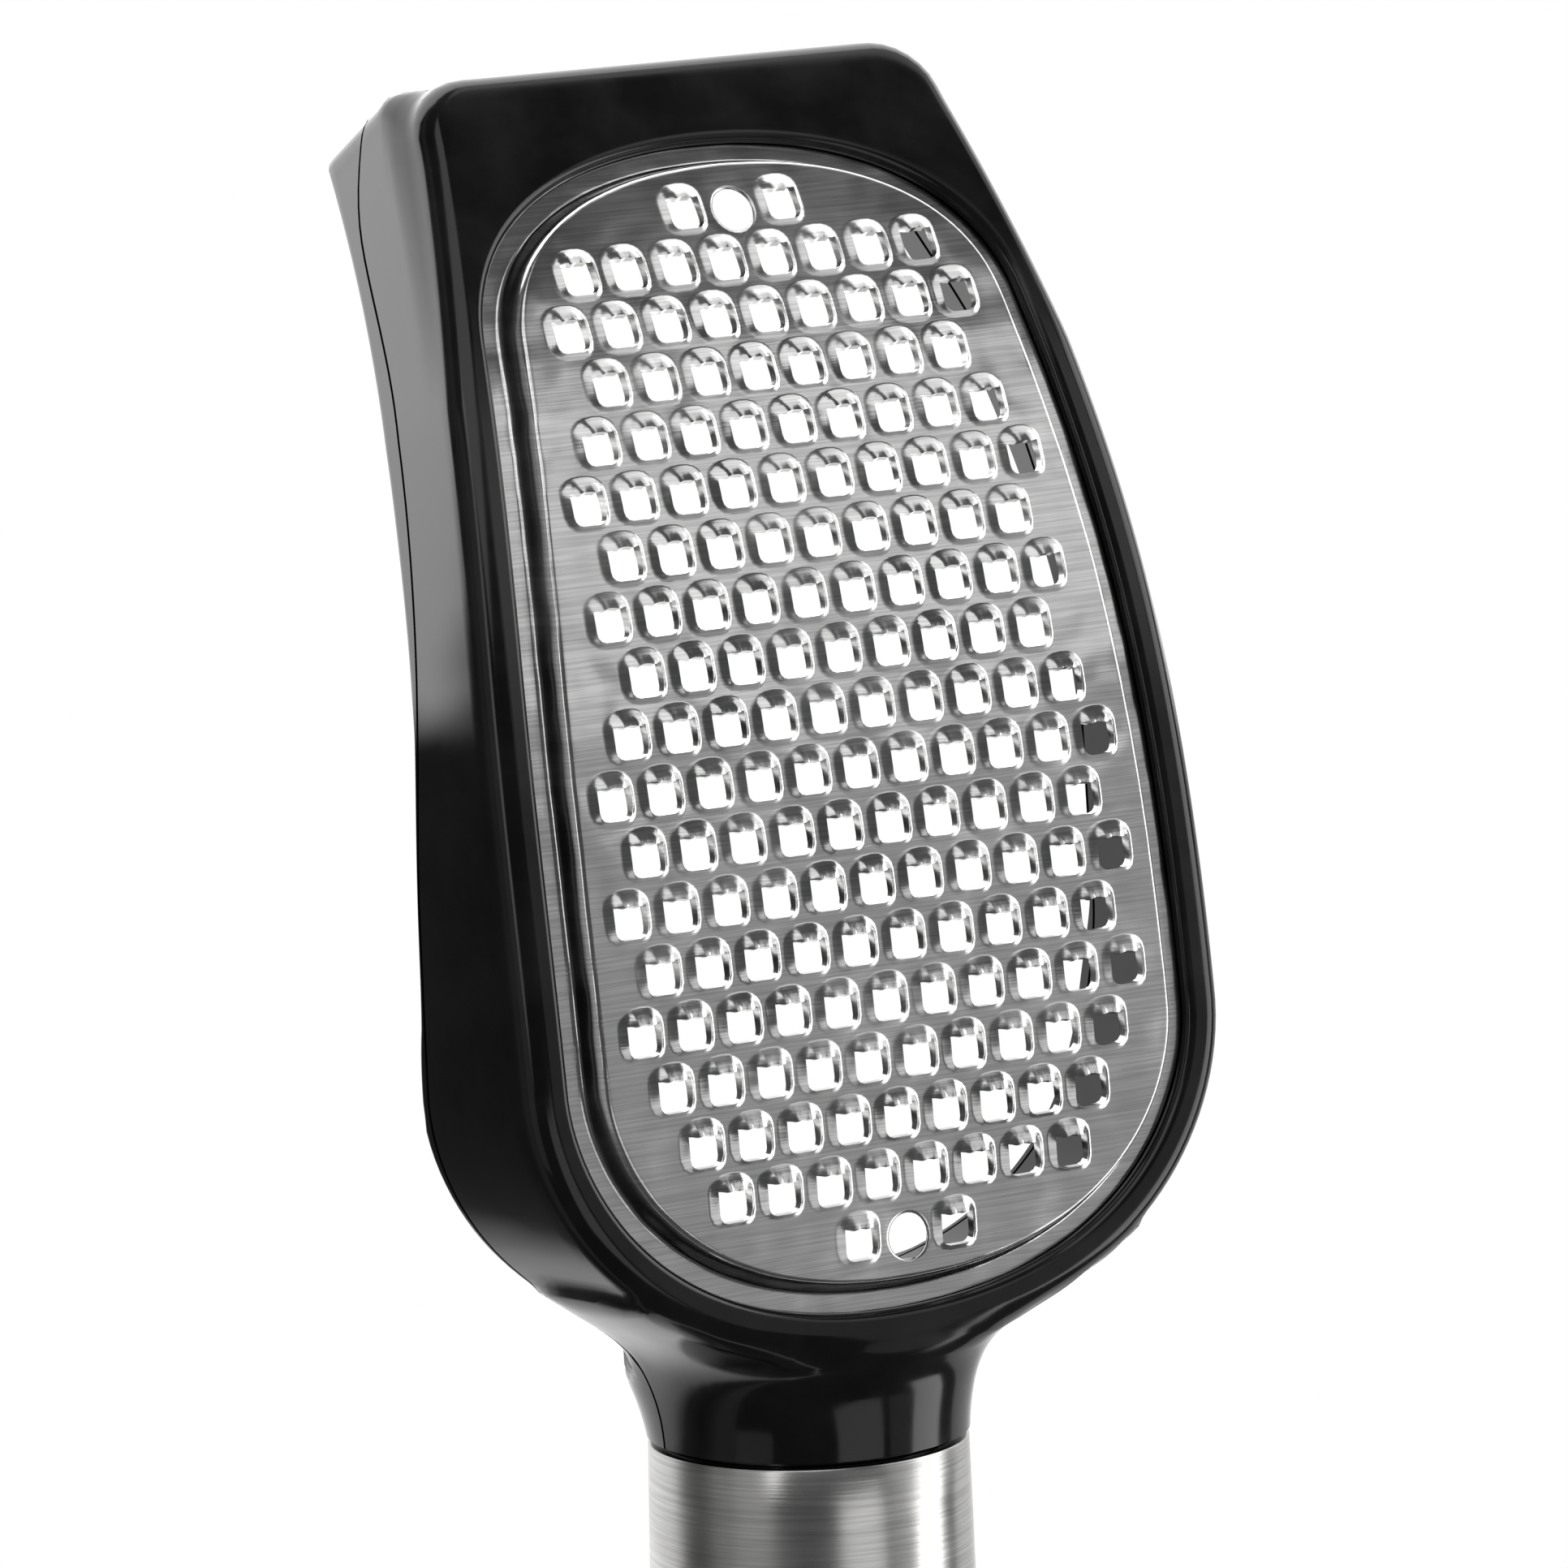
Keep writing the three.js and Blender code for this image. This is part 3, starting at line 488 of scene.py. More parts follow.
    def field(self, points, front):
        """How far points are outside the head and its neck, with a soft corner between the two."""
        head = self.head
        x, y, z = points.T
        outside = self.outside_distance(x, y)
        radius = head.rim_edge_radius if front else head.neck_edge_radius
        over = z - self.face + radius if front else self.back(y) + radius - z
        sideways = outside + radius
        head_gap = np.minimum(np.maximum(sideways, over), 0) - radius
        head_gap += np.hypot(np.maximum(sideways, 0), np.maximum(over, 0))
        neck_gap = self.neck_field(x, y, z)
        soft = head.neck_fillet * ease((outside + head.rim_edge_radius) / self.FILLET_RUN) + TINY
        mixed = np.maximum(soft - np.abs(head_gap - neck_gap), 0) / soft
        return np.minimum(head_gap, neck_gap) - mixed**2 * soft / 4

    def settled(self, points, front):
        """Points moved on to the outside of the head and its neck."""
        made = points.copy()
        step, least_slope, longest_move = 1e-6, 0.05, 0.0012
        for _ in range(14):
            gap = self.field(made, front)
            rises = [self.field(made + way, front) - gap for way in np.eye(3) * step]
            slope = np.column_stack(rises) / step
            size = np.maximum((slope**2).sum(axis=1), least_slope)
            move = np.clip(gap / size, -longest_move, longest_move)
            made -= slope * move[:, None]
        return made

    def parting_ends(self, shift, front):
        """Where each ray meets the parting line, or the collar's edge."""
        head = self.head
        outer = self.back_outline(0)
        z = self.parting(outer[:, 1]) + shift
        ends = self.wall(z)
        level = self.parting(0) + shift
        limit = math.acos(level / head.neck_radius)
        turn = np.linspace(0, 1, self.COLLAR_RAYS + 1)
        angle = limit * turn if front else math.pi + (limit - math.pi) * turn
        ring = np.column_stack([np.sin(angle), np.zeros(len(angle)), np.cos(angle)])
        ends[: self.COLLAR_RAYS + 1] = head.neck_radius * ring
        last = self.COLLAR_RAYS + self.NECK_RAYS
        run = np.linspace(0, ends[last, 1], self.NECK_RAYS + 1)[1:]
        ends[self.COLLAR_RAYS + 1 : last + 1, 1] = run
        rays = slice(self.COLLAR_RAYS + 1, self.blended)
        y = ends[rays, 1]
        height = self.parting(y) + shift
        nearest, farthest = np.full(len(y), 0.004), np.full(len(y), 0.04)
        ends[rays, 0] = boundary(
            lambda x: self.field(np.column_stack([x, y, height]), front) < 0, nearest, farthest
        )
        ends[rays, 2] = height
        return ends

    def seam(self, ends, inner, shift):
        """A row halfway across the parting face, which fills the collar's half circle."""
        made = (ends + inner) / 2
        collar = slice(0, self.COLLAR_RAYS + 1)
        made[collar] = ends[collar] * (1, 0, 0) + (0, 0, self.parting(0) + shift)
        return made

    def with_neck(self, start, rows, front):
        """Rows of the outer wall, after a start row, drawn on to the neck where it joins the head."""
        made = rows.copy()
        count = self.blended
        share = np.arange(1, len(rows) + 1) / len(rows)
        chord = start[None] + (rows[-1] - start)[None] * share[:, None, None]
        ray = np.arange(count)
        own = ease((ray - self.COLLAR_RAYS) / (self.NECK_RAYS + self.BLENDED_RAYS / 2))[None, :, None]
        guess = chord[:-1, :count] * (1 - own) + rows[:-1, :count] * own
        made[:-1, :count] = self.settled(guess.reshape(-1, 3), front).reshape(guess.shape)
        return made

    def bent(self, points, normals):
        """Points of the flat drawing, and normals there, on the bent head as it lies."""
        head = self.head
        y, forward = points[:, 1], points[:, 2] - head.panel_height
        lower = np.clip(y, 0, head.lower_bend_length) / head.lower_bend_radius
        tilt = lower + np.maximum(y - head.lower_bend_length, 0) / head.upper_bend_radius
        whole = head.lower_bend_length / head.lower_bend_radius
        along = np.minimum(y, 0) + head.lower_bend_radius * np.sin(lower)
        height = head.panel_height - head.lower_bend_radius * (1 - np.cos(lower))
        upper = y > head.lower_bend_length
        along += np.where(upper, head.upper_bend_radius * (np.sin(tilt) - math.sin(whole)), 0)
        height -= np.where(upper, head.upper_bend_radius * (math.cos(whole) - np.cos(tilt)), 0)
        sine, cosine = np.sin(tilt), np.cos(tilt)
        made = np.column_stack([points[:, 0], along + forward * sine, height + forward * cosine])
        turned = np.column_stack(
            [
                normals[:, 0],
                normals[:, 1] * cosine + normals[:, 2] * sine,
                normals[:, 2] * cosine - normals[:, 1] * sine,
            ]
        )
        return laid_down(made), laid_down(turned, moved=False)


def laid_down(points, moved=True):
    """Points given from the handle's collar, on the grater as it lies on its back."""
    head = bpy.context.scene.grater_head
    sine, cosine = math.sin(head.rest_turn), math.cos(head.rest_turn)
    turned = points @ np.array([(1, 0, 0), (0, cosine, sine), (0, -sine, cosine)])
    return turned + np.array(head.rest_place) if moved else turned


# Pieces


def deselect():
    """Leaves object mode with nothing selected."""
    if bpy.context.object and bpy.context.object.mode != "OBJECT":
        bpy.ops.object.mode_set(mode="OBJECT")
    bpy.ops.object.select_all(action="DESELECT")


def only(piece):
    """Makes a piece the one that is selected and active."""
    deselect()
    piece.select_set(True)
    bpy.context.view_layer.objects.active = piece


def coordinates(piece):
    """A copy of a piece's vertices."""
    made = np.empty(len(piece.data.vertices) * 3)
    piece.data.vertices.foreach_get("co", made)
    return made.reshape(-1, 3)


def place(piece, points):
    """Moves a piece's vertices to the given points."""
    piece.data.vertices.foreach_set("co", np.ascontiguousarray(points, dtype=float).reshape(-1))
    piece.data.update()


@contextmanager
def edited(piece):
    """Edit mode on a piece, with everything selected."""
    only(piece)
    bpy.ops.object.mode_set(mode="EDIT")
    bpy.ops.mesh.select_all(action="SELECT")
    yield
    bpy.ops.object.mode_set(mode="OBJECT")


def drawn(name, points):
    """The piece that was just added, with its name and with its vertices at the given points."""
    piece = bpy.context.object
    piece.name = piece.data.name = name
    piece.location = 0, 0, 0
    place(piece, points)
    return piece


def wrapped(name, rows):
    """A grid laid over rows of points, with its seams closed."""
    deselect()
    down, across = rows.shape[:2]
    bpy.ops.mesh.primitive_grid_add(x_subdivisions=across - 1, y_subdivisions=down - 1)
    piece = drawn(name, rows)
    with edited(piece):
        bpy.ops.mesh.remove_doubles(threshold=SAME_POINT)
        bpy.ops.mesh.normals_make_consistent(inside=False)
    return piece


def lathed(name, profile, steps):
    """A closed or axis-bound profile of (radius, y) points spun round the handle's axis."""
    deselect()
    bpy.ops.mesh.primitive_circle_add(vertices=len(profile))
    piece = drawn(name, at_height(profile, 0))
    with edited(piece):
        bpy.ops.mesh.spin(steps=steps, angle=2 * math.pi, center=(0, 0, 0), axis=(0, 1, 0))
        bpy.ops.mesh.select_all(action="SELECT")
        bpy.ops.mesh.remove_doubles(threshold=SAME_POINT)
        bpy.ops.mesh.delete_loose(use_verts=True, use_edges=True, use_faces=False)
        bpy.ops.mesh.select_all(action="SELECT")
        bpy.ops.mesh.normals_make_consistent(inside=False)
    return piece


def modified(piece, kind, **settings):
    """Adds a modifier with these settings and applies it."""
    only(piece)
    modifier = piece.modifiers.new(kind.title(), kind)
    for name, value in settings.items():
        setattr(modifier, name, value)
    bpy.ops.object.modifier_apply(modifier=modifier.name)


def bend_piece(piece, shape):
    """Bends a flat piece with its normals, which are exact on the flat drawing."""
    mesh = piece.data
    normals = np.empty(len(mesh.loops) * 3)
    mesh.corner_normals.foreach_get("vector", normals)
    corners = np.empty(len(mesh.loops), int)
    mesh.loops.foreach_get("vertex_index", corners)
    flat = coordinates(piece)
    bent, _ = shape.bent(flat, flat)
    _, turned = shape.bent(flat[corners], normals.reshape(-1, 3))
    place(piece, bent)
    mesh.normals_split_custom_set(turned.tolist())


def finished(piece, node, material, sharp_from, shape=None):
    """Smooths a piece below an angle, lays or bends it into place, and frames it with its material."""
    only(piece)
    bpy.ops.object.shade_smooth_by_angle(angle=math.radians(sharp_from))
    if shape:
        bend_piece(piece, shape)
    else:
        place(piece, laid_down(coordinates(piece)))
    piece.data.materials.clear()
    piece.data.materials.append(material)
    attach(piece, "root")
    if node:
        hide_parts(node)


# Materials


def node_group(name, outputs):
    """A new shader node group, with the vector that goes in and the node that its values leave by."""
    group = bpy.data.node_groups.new(name, "ShaderNodeTree")
    group.interface.new_socket("Vector", in_out="INPUT", socket_type="NodeSocketVector")
    for socket in outputs:
        group.interface.new_socket(socket, in_out="OUTPUT", socket_type="NodeSocketFloat")
    vector = group.nodes.new("NodeGroupInput").outputs["Vector"]
    return group, vector, group.nodes.new("NodeGroupOutput")


def feed(tree, node, sockets):
    """Links sockets to a node's inputs."""
    for name, socket in sockets.items():
        tree.links.new(socket, node.inputs[name])


def add(tree, kind, sockets=None, **values):
    """Adds a node; a value named after an input sets that input, any other one a property."""
    made = tree.nodes.new(kind)
    for name, value in values.items():
        title = name.replace("_", " ").title()
        if title in made.inputs:
            made.inputs[title].default_value = value
        else:
            setattr(made, name, value)
    feed(tree, made, sockets or {})
    return made


def stretched(tree, vector, scale=(1, 1, 1), rotation=(0, 0, 0)):
    """A vector that is scaled and turned."""
    made = add(tree, "ShaderNodeMapping", {"Vector": vector}, scale=scale, rotation=rotation)
    return made.outputs["Vector"]


def noise(tree, vector, scale=1, detail=1, roughness=0.5):
    """Noise by a vector."""
    values = {"scale": scale, "detail": detail, "roughness": roughness}
    return add(tree, "ShaderNodeTexNoise", {"Vector": vector}, **values).outputs["Fac"]


def ramp(tree, factor, stops):
    """A ramp through stops of a position and a grey value or a colour."""
    made = add(tree, "ShaderNodeValToRGB", {"Fac": factor})
    elements = made.color_ramp.elements
    while len(elements) < len(stops):
        elements.new(1)
    for element, (position, value) in zip(elements, stops):
        element.position = position
        element.color = value if hasattr(value, "__len__") else (value, value, value, 1)
    return made.outputs["Color"]


def grain_group():
    """Fine brushed lines along x, uneven patches and shallow waves."""
    name = "Brushed grain"
    if name in bpy.data.node_groups:
        return bpy.data.node_groups[name]
    group, vector, outside = node_group(name, ("Lines", "Patches", "Waves"))
    fine = noise(group, stretched(group, vector, (120, 5600, 120)))
    coarse = noise(group, stretched(group, vector, (110, 3000, 110)))
    lines = add(group, "ShaderNodeMix", {2: fine, 3: coarse}, data_type="FLOAT", factor=0.3).outputs[0]
    patches = noise(group, vector, 85, detail=3, roughness=0.55)
    feed(group, outside, {"Lines": lines, "Patches": patches, "Waves": noise(group, vector, 190)})
    return group


def wear_group():
    """Smudges and hairline scratches of handling."""
    name = "Handling wear"
    if name in bpy.data.node_groups:
        return bpy.data.node_groups[name]
    group, vector, outside = node_group(name, ("Smudges", "Scratches"))
    smudges = noise(group, vector, 120, detail=5, roughness=0.6)
    lines = noise(group, stretched(group, vector, (90, 2600, 700), (0.3, 0.2, 0.7)), detail=2)
    feed(group, outside, {"Smudges": smudges, "Scratches": ramp(group, lines, ((0.68, 0), (0.80, 1)))})
    return group


def new_material(name):
    """A node material with only a shader and its output."""
    material = bpy.data.materials.new(name)
    material.use_nodes = True
    tree = material.node_tree
    tree.nodes.clear()
    shader = tree.nodes.new("ShaderNodeBsdfPrincipled")
    add(tree, "ShaderNodeOutputMaterial", {"Surface": shader.outputs["BSDF"]})
    return material, tree, shader


def between(tree, factor, low, high):
    """A soft step, for noise, from one value or colour to another."""
    return ramp(tree, factor, ((0.38, low), (0.62, high)))


def bumped(tree, shader, *layers):
    """Bumps of the given heights and depths, one over the other, on the shader's normal."""
    below = {}
    for height, depth in layers:
        bump = add(tree, "ShaderNodeBump", {"Height": height, **below}, distance=depth)
        below = {"Normal": bump.outputs["Normal"]}
    feed(tree, shader, below)


def gloss_plastic():
    """Glossy black moulding with faint smudges and hairlines."""
    name = "gloss_plastic"
    if name in bpy.data.materials:
        return bpy.data.materials[name]
    finish = bpy.context.scene.grater_finish
    material, tree, shader = new_material(name)
    where = tree.nodes.new("ShaderNodeTexCoord").outputs["Object"]
    wear = add(tree, "ShaderNodeGroup", {"Vector": where}, node_tree=wear_group()).outputs
    dark = between(tree, wear["Smudges"], finish.plastic_dark, finish.plastic_light)
    feed(tree, shader, {"Base Color": dark, "Roughness": between(tree, wear["Smudges"], 0.11, 0.17)})
    shader.inputs["IOR"].default_value = 1.46
    bumped(tree, shader, (wear["Scratches"], 0.0000012))
    return material


def steel(name, colours, rough, turn, waves, depth):
    """Brushed steel whose grain is turned to lie along the piece."""
    if name in bpy.data.materials:
        return bpy.data.materials[name]
    material, tree, shader = new_material(name)
    where = tree.nodes.new("ShaderNodeTexCoord").outputs["Object"]
    turned = stretched(tree, where, rotation=turn)
    grain = add(tree, "ShaderNodeGroup", {"Vector": turned}, node_tree=grain_group()).outputs
    base = between(tree, grain["Lines"], *colours)
    feed(tree, shader, {"Base Color": base, "Roughness": between(tree, grain["Patches"], *rough)})
    shader.inputs["Metallic"].default_value = 1
    bumped(tree, shader, (grain["Waves"], waves), (grain["Lines"], depth))
    return material


def plate_steel():
    """Bright steel brushed across the plate."""
    finish = bpy.context.scene.grater_finish
    colours = finish.plate_dark, finish.plate_light
    return steel("brushed_plate", colours, (0.14, 0.24), (0, 0, 0), waves=0.0003, depth=0.000005)


def tube_steel():
    """Steel brushed round the tube."""
    finish = bpy.context.scene.grater_finish
    colours = finish.tube_dark, finish.tube_light
    turn = -bpy.context.scene.grater_head.rest_turn, 0, 0
    return steel("brushed_tube", colours, (0.22, 0.30), turn, waves=0.00002, depth=0.000012)


# Operators

# Small bevel where the two shells part and on the back shell's inner edge
PARTING_BEVEL = 0.0002


class GRATER_OT_front_shell(bpy.types.Operator):
    """Models the front of the head: the rim round the plate, the outer wall and the front of the neck"""

    bl_idname = "grater.front_shell"
    bl_label = "Front shell"

    def execute(self, context):
        shape = HeadShape()
        head, edge, rays = shape.head, shape.edge, shape.shares
        face, lip, bevel, round_edge = shape.face, shape.lip, head.lip_bevel, head.rim_edge_radius
        shift = head.parting_gap / 2
        rows = [at_height(edge.at(rays), lip), at_height(edge.at(rays), face - bevel)]
        for angle in np.radians((22.5, 45, 67.5, 90)):
            outwards = bevel * (1 - math.cos(angle))
            rows.append(at_height(edge.at(rays, outwards), face - bevel + bevel * math.sin(angle)))
        inner, outer = edge.at(rays, bevel), shape.front_outline(round_edge)
        for share in (0.12, 0.3, 0.5, 0.7, 0.88):
            rows.append(at_height(inner + (outer - inner) * share, face))
        start = at_height(outer, face)
        rows.append(start)
        outside = []
        for angle in np.radians(np.linspace(12, 90, 7)):
            places = shape.front_outline(round_edge * (1 - math.sin(angle)))
            outside.append(at_height(places, face - round_edge * (1 - math.cos(angle))))
        ends = shape.parting_ends(shift, front=True)
        for share in np.linspace(0, 1, 9)[1:-1]:
            drop = ends[:, 2] + PARTING_BEVEL - face + round_edge
            outside.append(shape.wall(face - round_edge + drop * share))
        outside.append(ends)
        rows.extend(shape.with_neck(start, np.array(outside), front=True))
        inner = shape.hollow()
        floor = at_height(inner, shape.parting(inner[:, 1]) + shift)
        rows.extend([shape.seam(ends, floor, shift), floor])
        for share in (0.35, 0.7, 1):
            rows.append(at_height(inner, floor[:, 2] + (shape.ledge_bottom - floor[:, 2]) * share))
        top, slot = shape.ledge_top, shape.slot
        for outwards, z in ((0, shape.ledge_bottom), (0, top), (slot, top), (slot, lip)):
            rows.append(at_height(edge.at(rays, outwards), z))
        rows.append(rows[0])
        piece = wrapped("front_shell_moulding", mirrored(np.array(rows)))
        finished(piece, "front_shell", gloss_plastic(), sharp_from=42, shape=shape)
        return {"FINISHED"}


class GRATER_OT_back_shell(bpy.types.Operator):
    """Models the back of the head: its thin, open wall and the back of the neck"""

    bl_idname = "grater.back_shell"
    bl_label = "Back shell"

    def execute(self, context):
        shape = HeadShape()
        head = shape.head
        shift = -head.parting_gap / 2
        start = shape.parting_ends(shift, front=False)
        depth = start[:, 2] - shape.back(start[:, 1])
        radius = np.clip(0.9 * depth, PARTING_BEVEL, head.back_edge_radius)
        foot = shape.back(start[:, 1]) + radius
        shares = np.linspace(0, 1, 8)[1:]
        outside = [shape.wall(start[:, 2] + (foot - start[:, 2]) * share) for share in shares]
        outline = shape.back_outline(0)
        inwards = (shape.back_outline(head.back_edge_radius) - outline) / head.back_edge_radius
        for angle in np.radians(np.linspace(15, 90, 6)):
            places = outline + inwards * (radius * (1 - math.cos(angle)))[:, None]
            outside.append(at_height(places, shape.back(places[:, 1]) + radius * (1 - math.sin(angle))))
        inner, outer = shape.hollow(PARTING_BEVEL), places
        for share in (0.25, 0.5, 0.75, 1):
            places = outer + (inner - outer) * share
            outside.append(at_height(places, shape.back(places[:, 1])))
        lowest, highest = np.full(len(inner), -0.014), outside[-1][:, 2] + 0.0008
        z = boundary(lambda z: shape.field(at_height(inner, z), front=False) >= 0, lowest, highest)
        outside[-1][: shape.blended, 2] = z[: shape.blended]
        rows = [start, *shape.with_neck(start, np.array(outside), front=False)]
        window = shape.hollow()
        foot = rows[-1][:, 2] + PARTING_BEVEL
        top = shape.parting(window[:, 1]) + shift
        for share in (0, 0.5, 1):
            rows.append(at_height(window, foot + (top - foot) * share))
        rows.extend([shape.seam(start, rows[-1], shift), start])
        piece = wrapped("back_shell_moulding", mirrored(np.array(rows)))
        finished(piece, "back_shell", gloss_plastic(), sharp_from=42, shape=shape)
        return {"FINISHED"}


def tooth_places(shape, row):
    """As many teeth as fit in a row of the panel. Every second row is set over by half a pitch."""
    _, plate, _ = sizes()
    if row in (0, plate.rows - 1):
        return [-plate.tooth_pitch, 0, plate.tooth_pitch]
    inset = -plate.flange_shown - plate.step_width
    height = plate.lowest_row + row * plate.row_pitch
    levels = np.array([height - plate.hole_below, height + plate.hood_start + plate.hood_length])
    room = shape.edge.at(shape.edge.share_at(levels, inset), inset)[:, 0].min()
    room -= plate.edge_margin + plate.tooth_width / 2
    start = 0 if row % 2 == 0 else plate.tooth_pitch / 2
    right = np.arange(start, room + 1e-9, plate.tooth_pitch)
    return sorted({*right.tolist(), *(-right).tolist()})


# Roundness of a hood's crest, foot and arch, and width of its crease as a share of half the tooth
CREST_POWER, FOOT_POWER, ARCH_POWERS, CREASE_WIDTH = 2.6, 4, (0.8, 0.9), 0.2
# How far the hood's raised ground reaches beyond it, and how much its cutting edge bows
HOOD_MARGIN, EDGE_BOW = 0.0002, 0.00012
# Height of the lip down one side of a hole and at its lowest point, as a share of its full height
LIP_SIDE, LIP_LOWEST = (1, 1, 1, 0.9, 0.72, 0.56, 0.45), 0.4
# Rings outside the hole: share of the lip's width, of its height and of the hood's
OUTER_RINGS = (1.14, 0, 0), (1, 0, 0), (0.66, 0.22, 0.02), (0.3, 0.66, 0.08)
# Rings on the hood: share of the way to the cutting edge and of the hood's height
HOOD_RINGS = (0.3, 0.45), (0.65, 0.82), (1, 1)
# Where those rings begin on the lip: share of its height and of its width
LIP_INSIDE, LIP_INNER_EDGE = 0.9, 0.12
# Rings of a locating hole: distance from its edge and depth
LOCATING_RINGS = (0.0003, 0), (0.00014, 0.00002), (0.00004, 0.00008), (0, 0.00016)


def tooth_rings(plate):
    """Rings of one tooth, from the panel to the hole's edge, anticlockwise from the hood's right foot."""
    half, corner, below = plate.tooth_width / 2, plate.hole_corner, plate.hole_below
    hood = np.linspace(1, -1, 11)
    crest = plate.hood_height * (1 - np.abs(hood) ** CREST_POWER)
    crest -= plate.hood_crease * np.exp(-((hood / CREASE_WIDTH) ** 2))
    foot = np.abs(hood) ** FOOT_POWER
    sides = np.linspace(plate.hood_start, corner - below, 5)[1:]
    turn = np.radians((30, 60, 90))

    def side(out, width):
        reach, down = out * width, out * plate.lip_below
        straight = [(half + reach, y) for y in sides]
        bend = [
            (half - corner + (corner + reach) * math.cos(a), corner - below - (corner + down) * math.sin(a))
            for a in turn
        ]
        return np.array(straight + bend)

    def hole(out):
        left = side(out, plate.lip_left) * (-1, 1)
        return np.vstack([left, [(0, -below - out * plate.lip_below)], side(out, plate.lip_right)[::-1]])

    def arch(out):
        angle = np.linspace(0, math.pi, len(hood))
        width = half + out * np.where(hood > 0, plate.lip_right, plate.lip_left)
        x = width * np.sign(np.cos(angle)) * np.abs(np.cos(angle)) ** ARCH_POWERS[0]
        length = plate.hood_length + out * HOOD_MARGIN
        y = plate.hood_start + length * np.abs(np.sin(angle)) ** ARCH_POWERS[1]
        return np.column_stack([x, y])

    around = np.array([*LIP_SIDE, LIP_LOWEST, *LIP_SIDE[::-1]])
    rings = []
    for out, rise, lift in OUTER_RINGS:
        top = at_height(arch(out), lift * crest + plate.lip_height * rise * foot)
        low = at_height(hole(out), plate.lip_height * rise * around)
        rings.append(np.vstack([top, low]))
    base = arch(0)
    bow = EDGE_BOW * np.sin(np.abs(hood) * math.pi) ** 2
    edge = np.column_stack([hood * half, plate.hood_start - bow])
    for share, lift in HOOD_RINGS:
        rise = LIP_INSIDE + (1 - LIP_INSIDE) * share
        top = at_height(base + (edge - base) * share, lift * crest + plate.lip_height * rise * foot)
        low = at_height(hole(LIP_INNER_EDGE * (1 - share)), plate.lip_height * rise * around)
        rings.append(np.vstack([top, low]))
    return np.array(rings)


def locating_rings(plate):
    """Rings of a plain round hole with a rolled edge."""
    angle = np.linspace(0, 2 * math.pi, 24, endpoint=False)
    circle = np.column_stack([np.cos(angle), np.sin(angle)])
    radius = plate.locating_radius
    return np.array([at_height(circle * (radius + out), -depth) for out, depth in LOCATING_RINGS])


def facing_front(piece):
    """Turns a sheet's faces to the front."""
    mesh = piece.data
    normals = np.empty(len(mesh.polygons) * 3)
    mesh.polygons.foreach_get("normal", normals)
    if normals.reshape(-1, 3)[:, 2].mean() < 0:
        with edited(piece):
            bpy.ops.mesh.flip_normals()


class GRATER_OT_grating_plate(bpy.types.Operator):
    """Models the grating plate: one sheet with a raised panel, hooded teeth and two locating holes"""

    bl_idname = "grater.grating_plate"
    bl_label = "Grating plate"
    # Width of the flat panel's edge that belongs to its border
    PANEL_EDGE = 0.0002

    def execute(self, context):
        shape = HeadShape()
        head, plate, _ = sizes()
        rays = np.linspace(0, 1, 131)
        profile = [(-plate.flange_held, 0), (0, 0), (plate.flange_shown * 0.7, 0)]
        profile += [
            (plate.flange_shown + plate.step_width * t, plate.panel_rise * t**3 * (10 - 15 * t + 6 * t * t))
            for t in np.linspace(0, 1, 13)
        ]
        profile.append((plate.flange_shown + plate.step_width + self.PANEL_EDGE, plate.panel_rise))
        rows = []
        for inwards, rise in profile:
            row = at_height(shape.edge.at(rays, -inwards), shape.flange + rise)
            row[[0, -1], 0] = 0
            rows.append(row)
        border = wrapped("grating_plate_sheet", mirrored(np.array(rows)))
        parts = [border]
        patches = {}
        for name, rings in (("tooth", tooth_rings(plate)), ("locating_hole", locating_rings(plate))):
            closed = np.concatenate([rings, rings[:, :1]], axis=1)
            closed[..., 2] += head.panel_height
            patches[name] = wrapped(name, closed)
        for row in range(plate.rows):
            for x in tooth_places(shape, row):
                plain = row in (0, plate.rows - 1) and x == 0
                copy = patches["locating_hole" if plain else "tooth"].copy()
                copy.data = copy.data.copy()
                context.collection.objects.link(copy)
                place(copy, coordinates(copy) + (x, plate.lowest_row + row * plate.row_pitch, 0))
                parts.append(copy)
        for piece in parts + list(patches.values()):
            facing_front(piece)
        for patch in patches.values():
            bpy.data.objects.remove(patch)
        deselect()
        for piece in parts:
            piece.select_set(True)
        context.view_layer.objects.active = border
        bpy.ops.object.join()
        self.fill_panel(border, head.panel_height)
        facing_front(border)
        modified(border, "SOLIDIFY", thickness=plate.sheet, offset=-1)
        finished(border, "grating_plate", plate_steel(), sharp_from=40, shape=shape)
        return {"FINISHED"}

    @staticmethod
    def fill_panel(piece, level):
        """Fills the flat panel between its border and the rings of its holes."""
        with edited(piece):
            bpy.ops.mesh.select_mode(type="EDGE")
            bpy.ops.mesh.select_all(action="SELECT")
            bpy.ops.mesh.region_to_loop()
        heights = coordinates(piece)[:, 2]
        for edge in piece.data.edges:
            flat = all(abs(heights[i] - level) < TINY for i in edge.vertices)
            edge.select = edge.select and flat
        bpy.ops.object.mode_set(mode="EDIT")
        bpy.ops.mesh.fill(use_beauty=True)
        bpy.ops.mesh.select_mode(type="VERT")
        bpy.ops.object.mode_set(mode="OBJECT")


def tube_top():
    """Upper end of the tube, from the collar."""
    return -bpy.context.scene.grater_handle.collar_gap


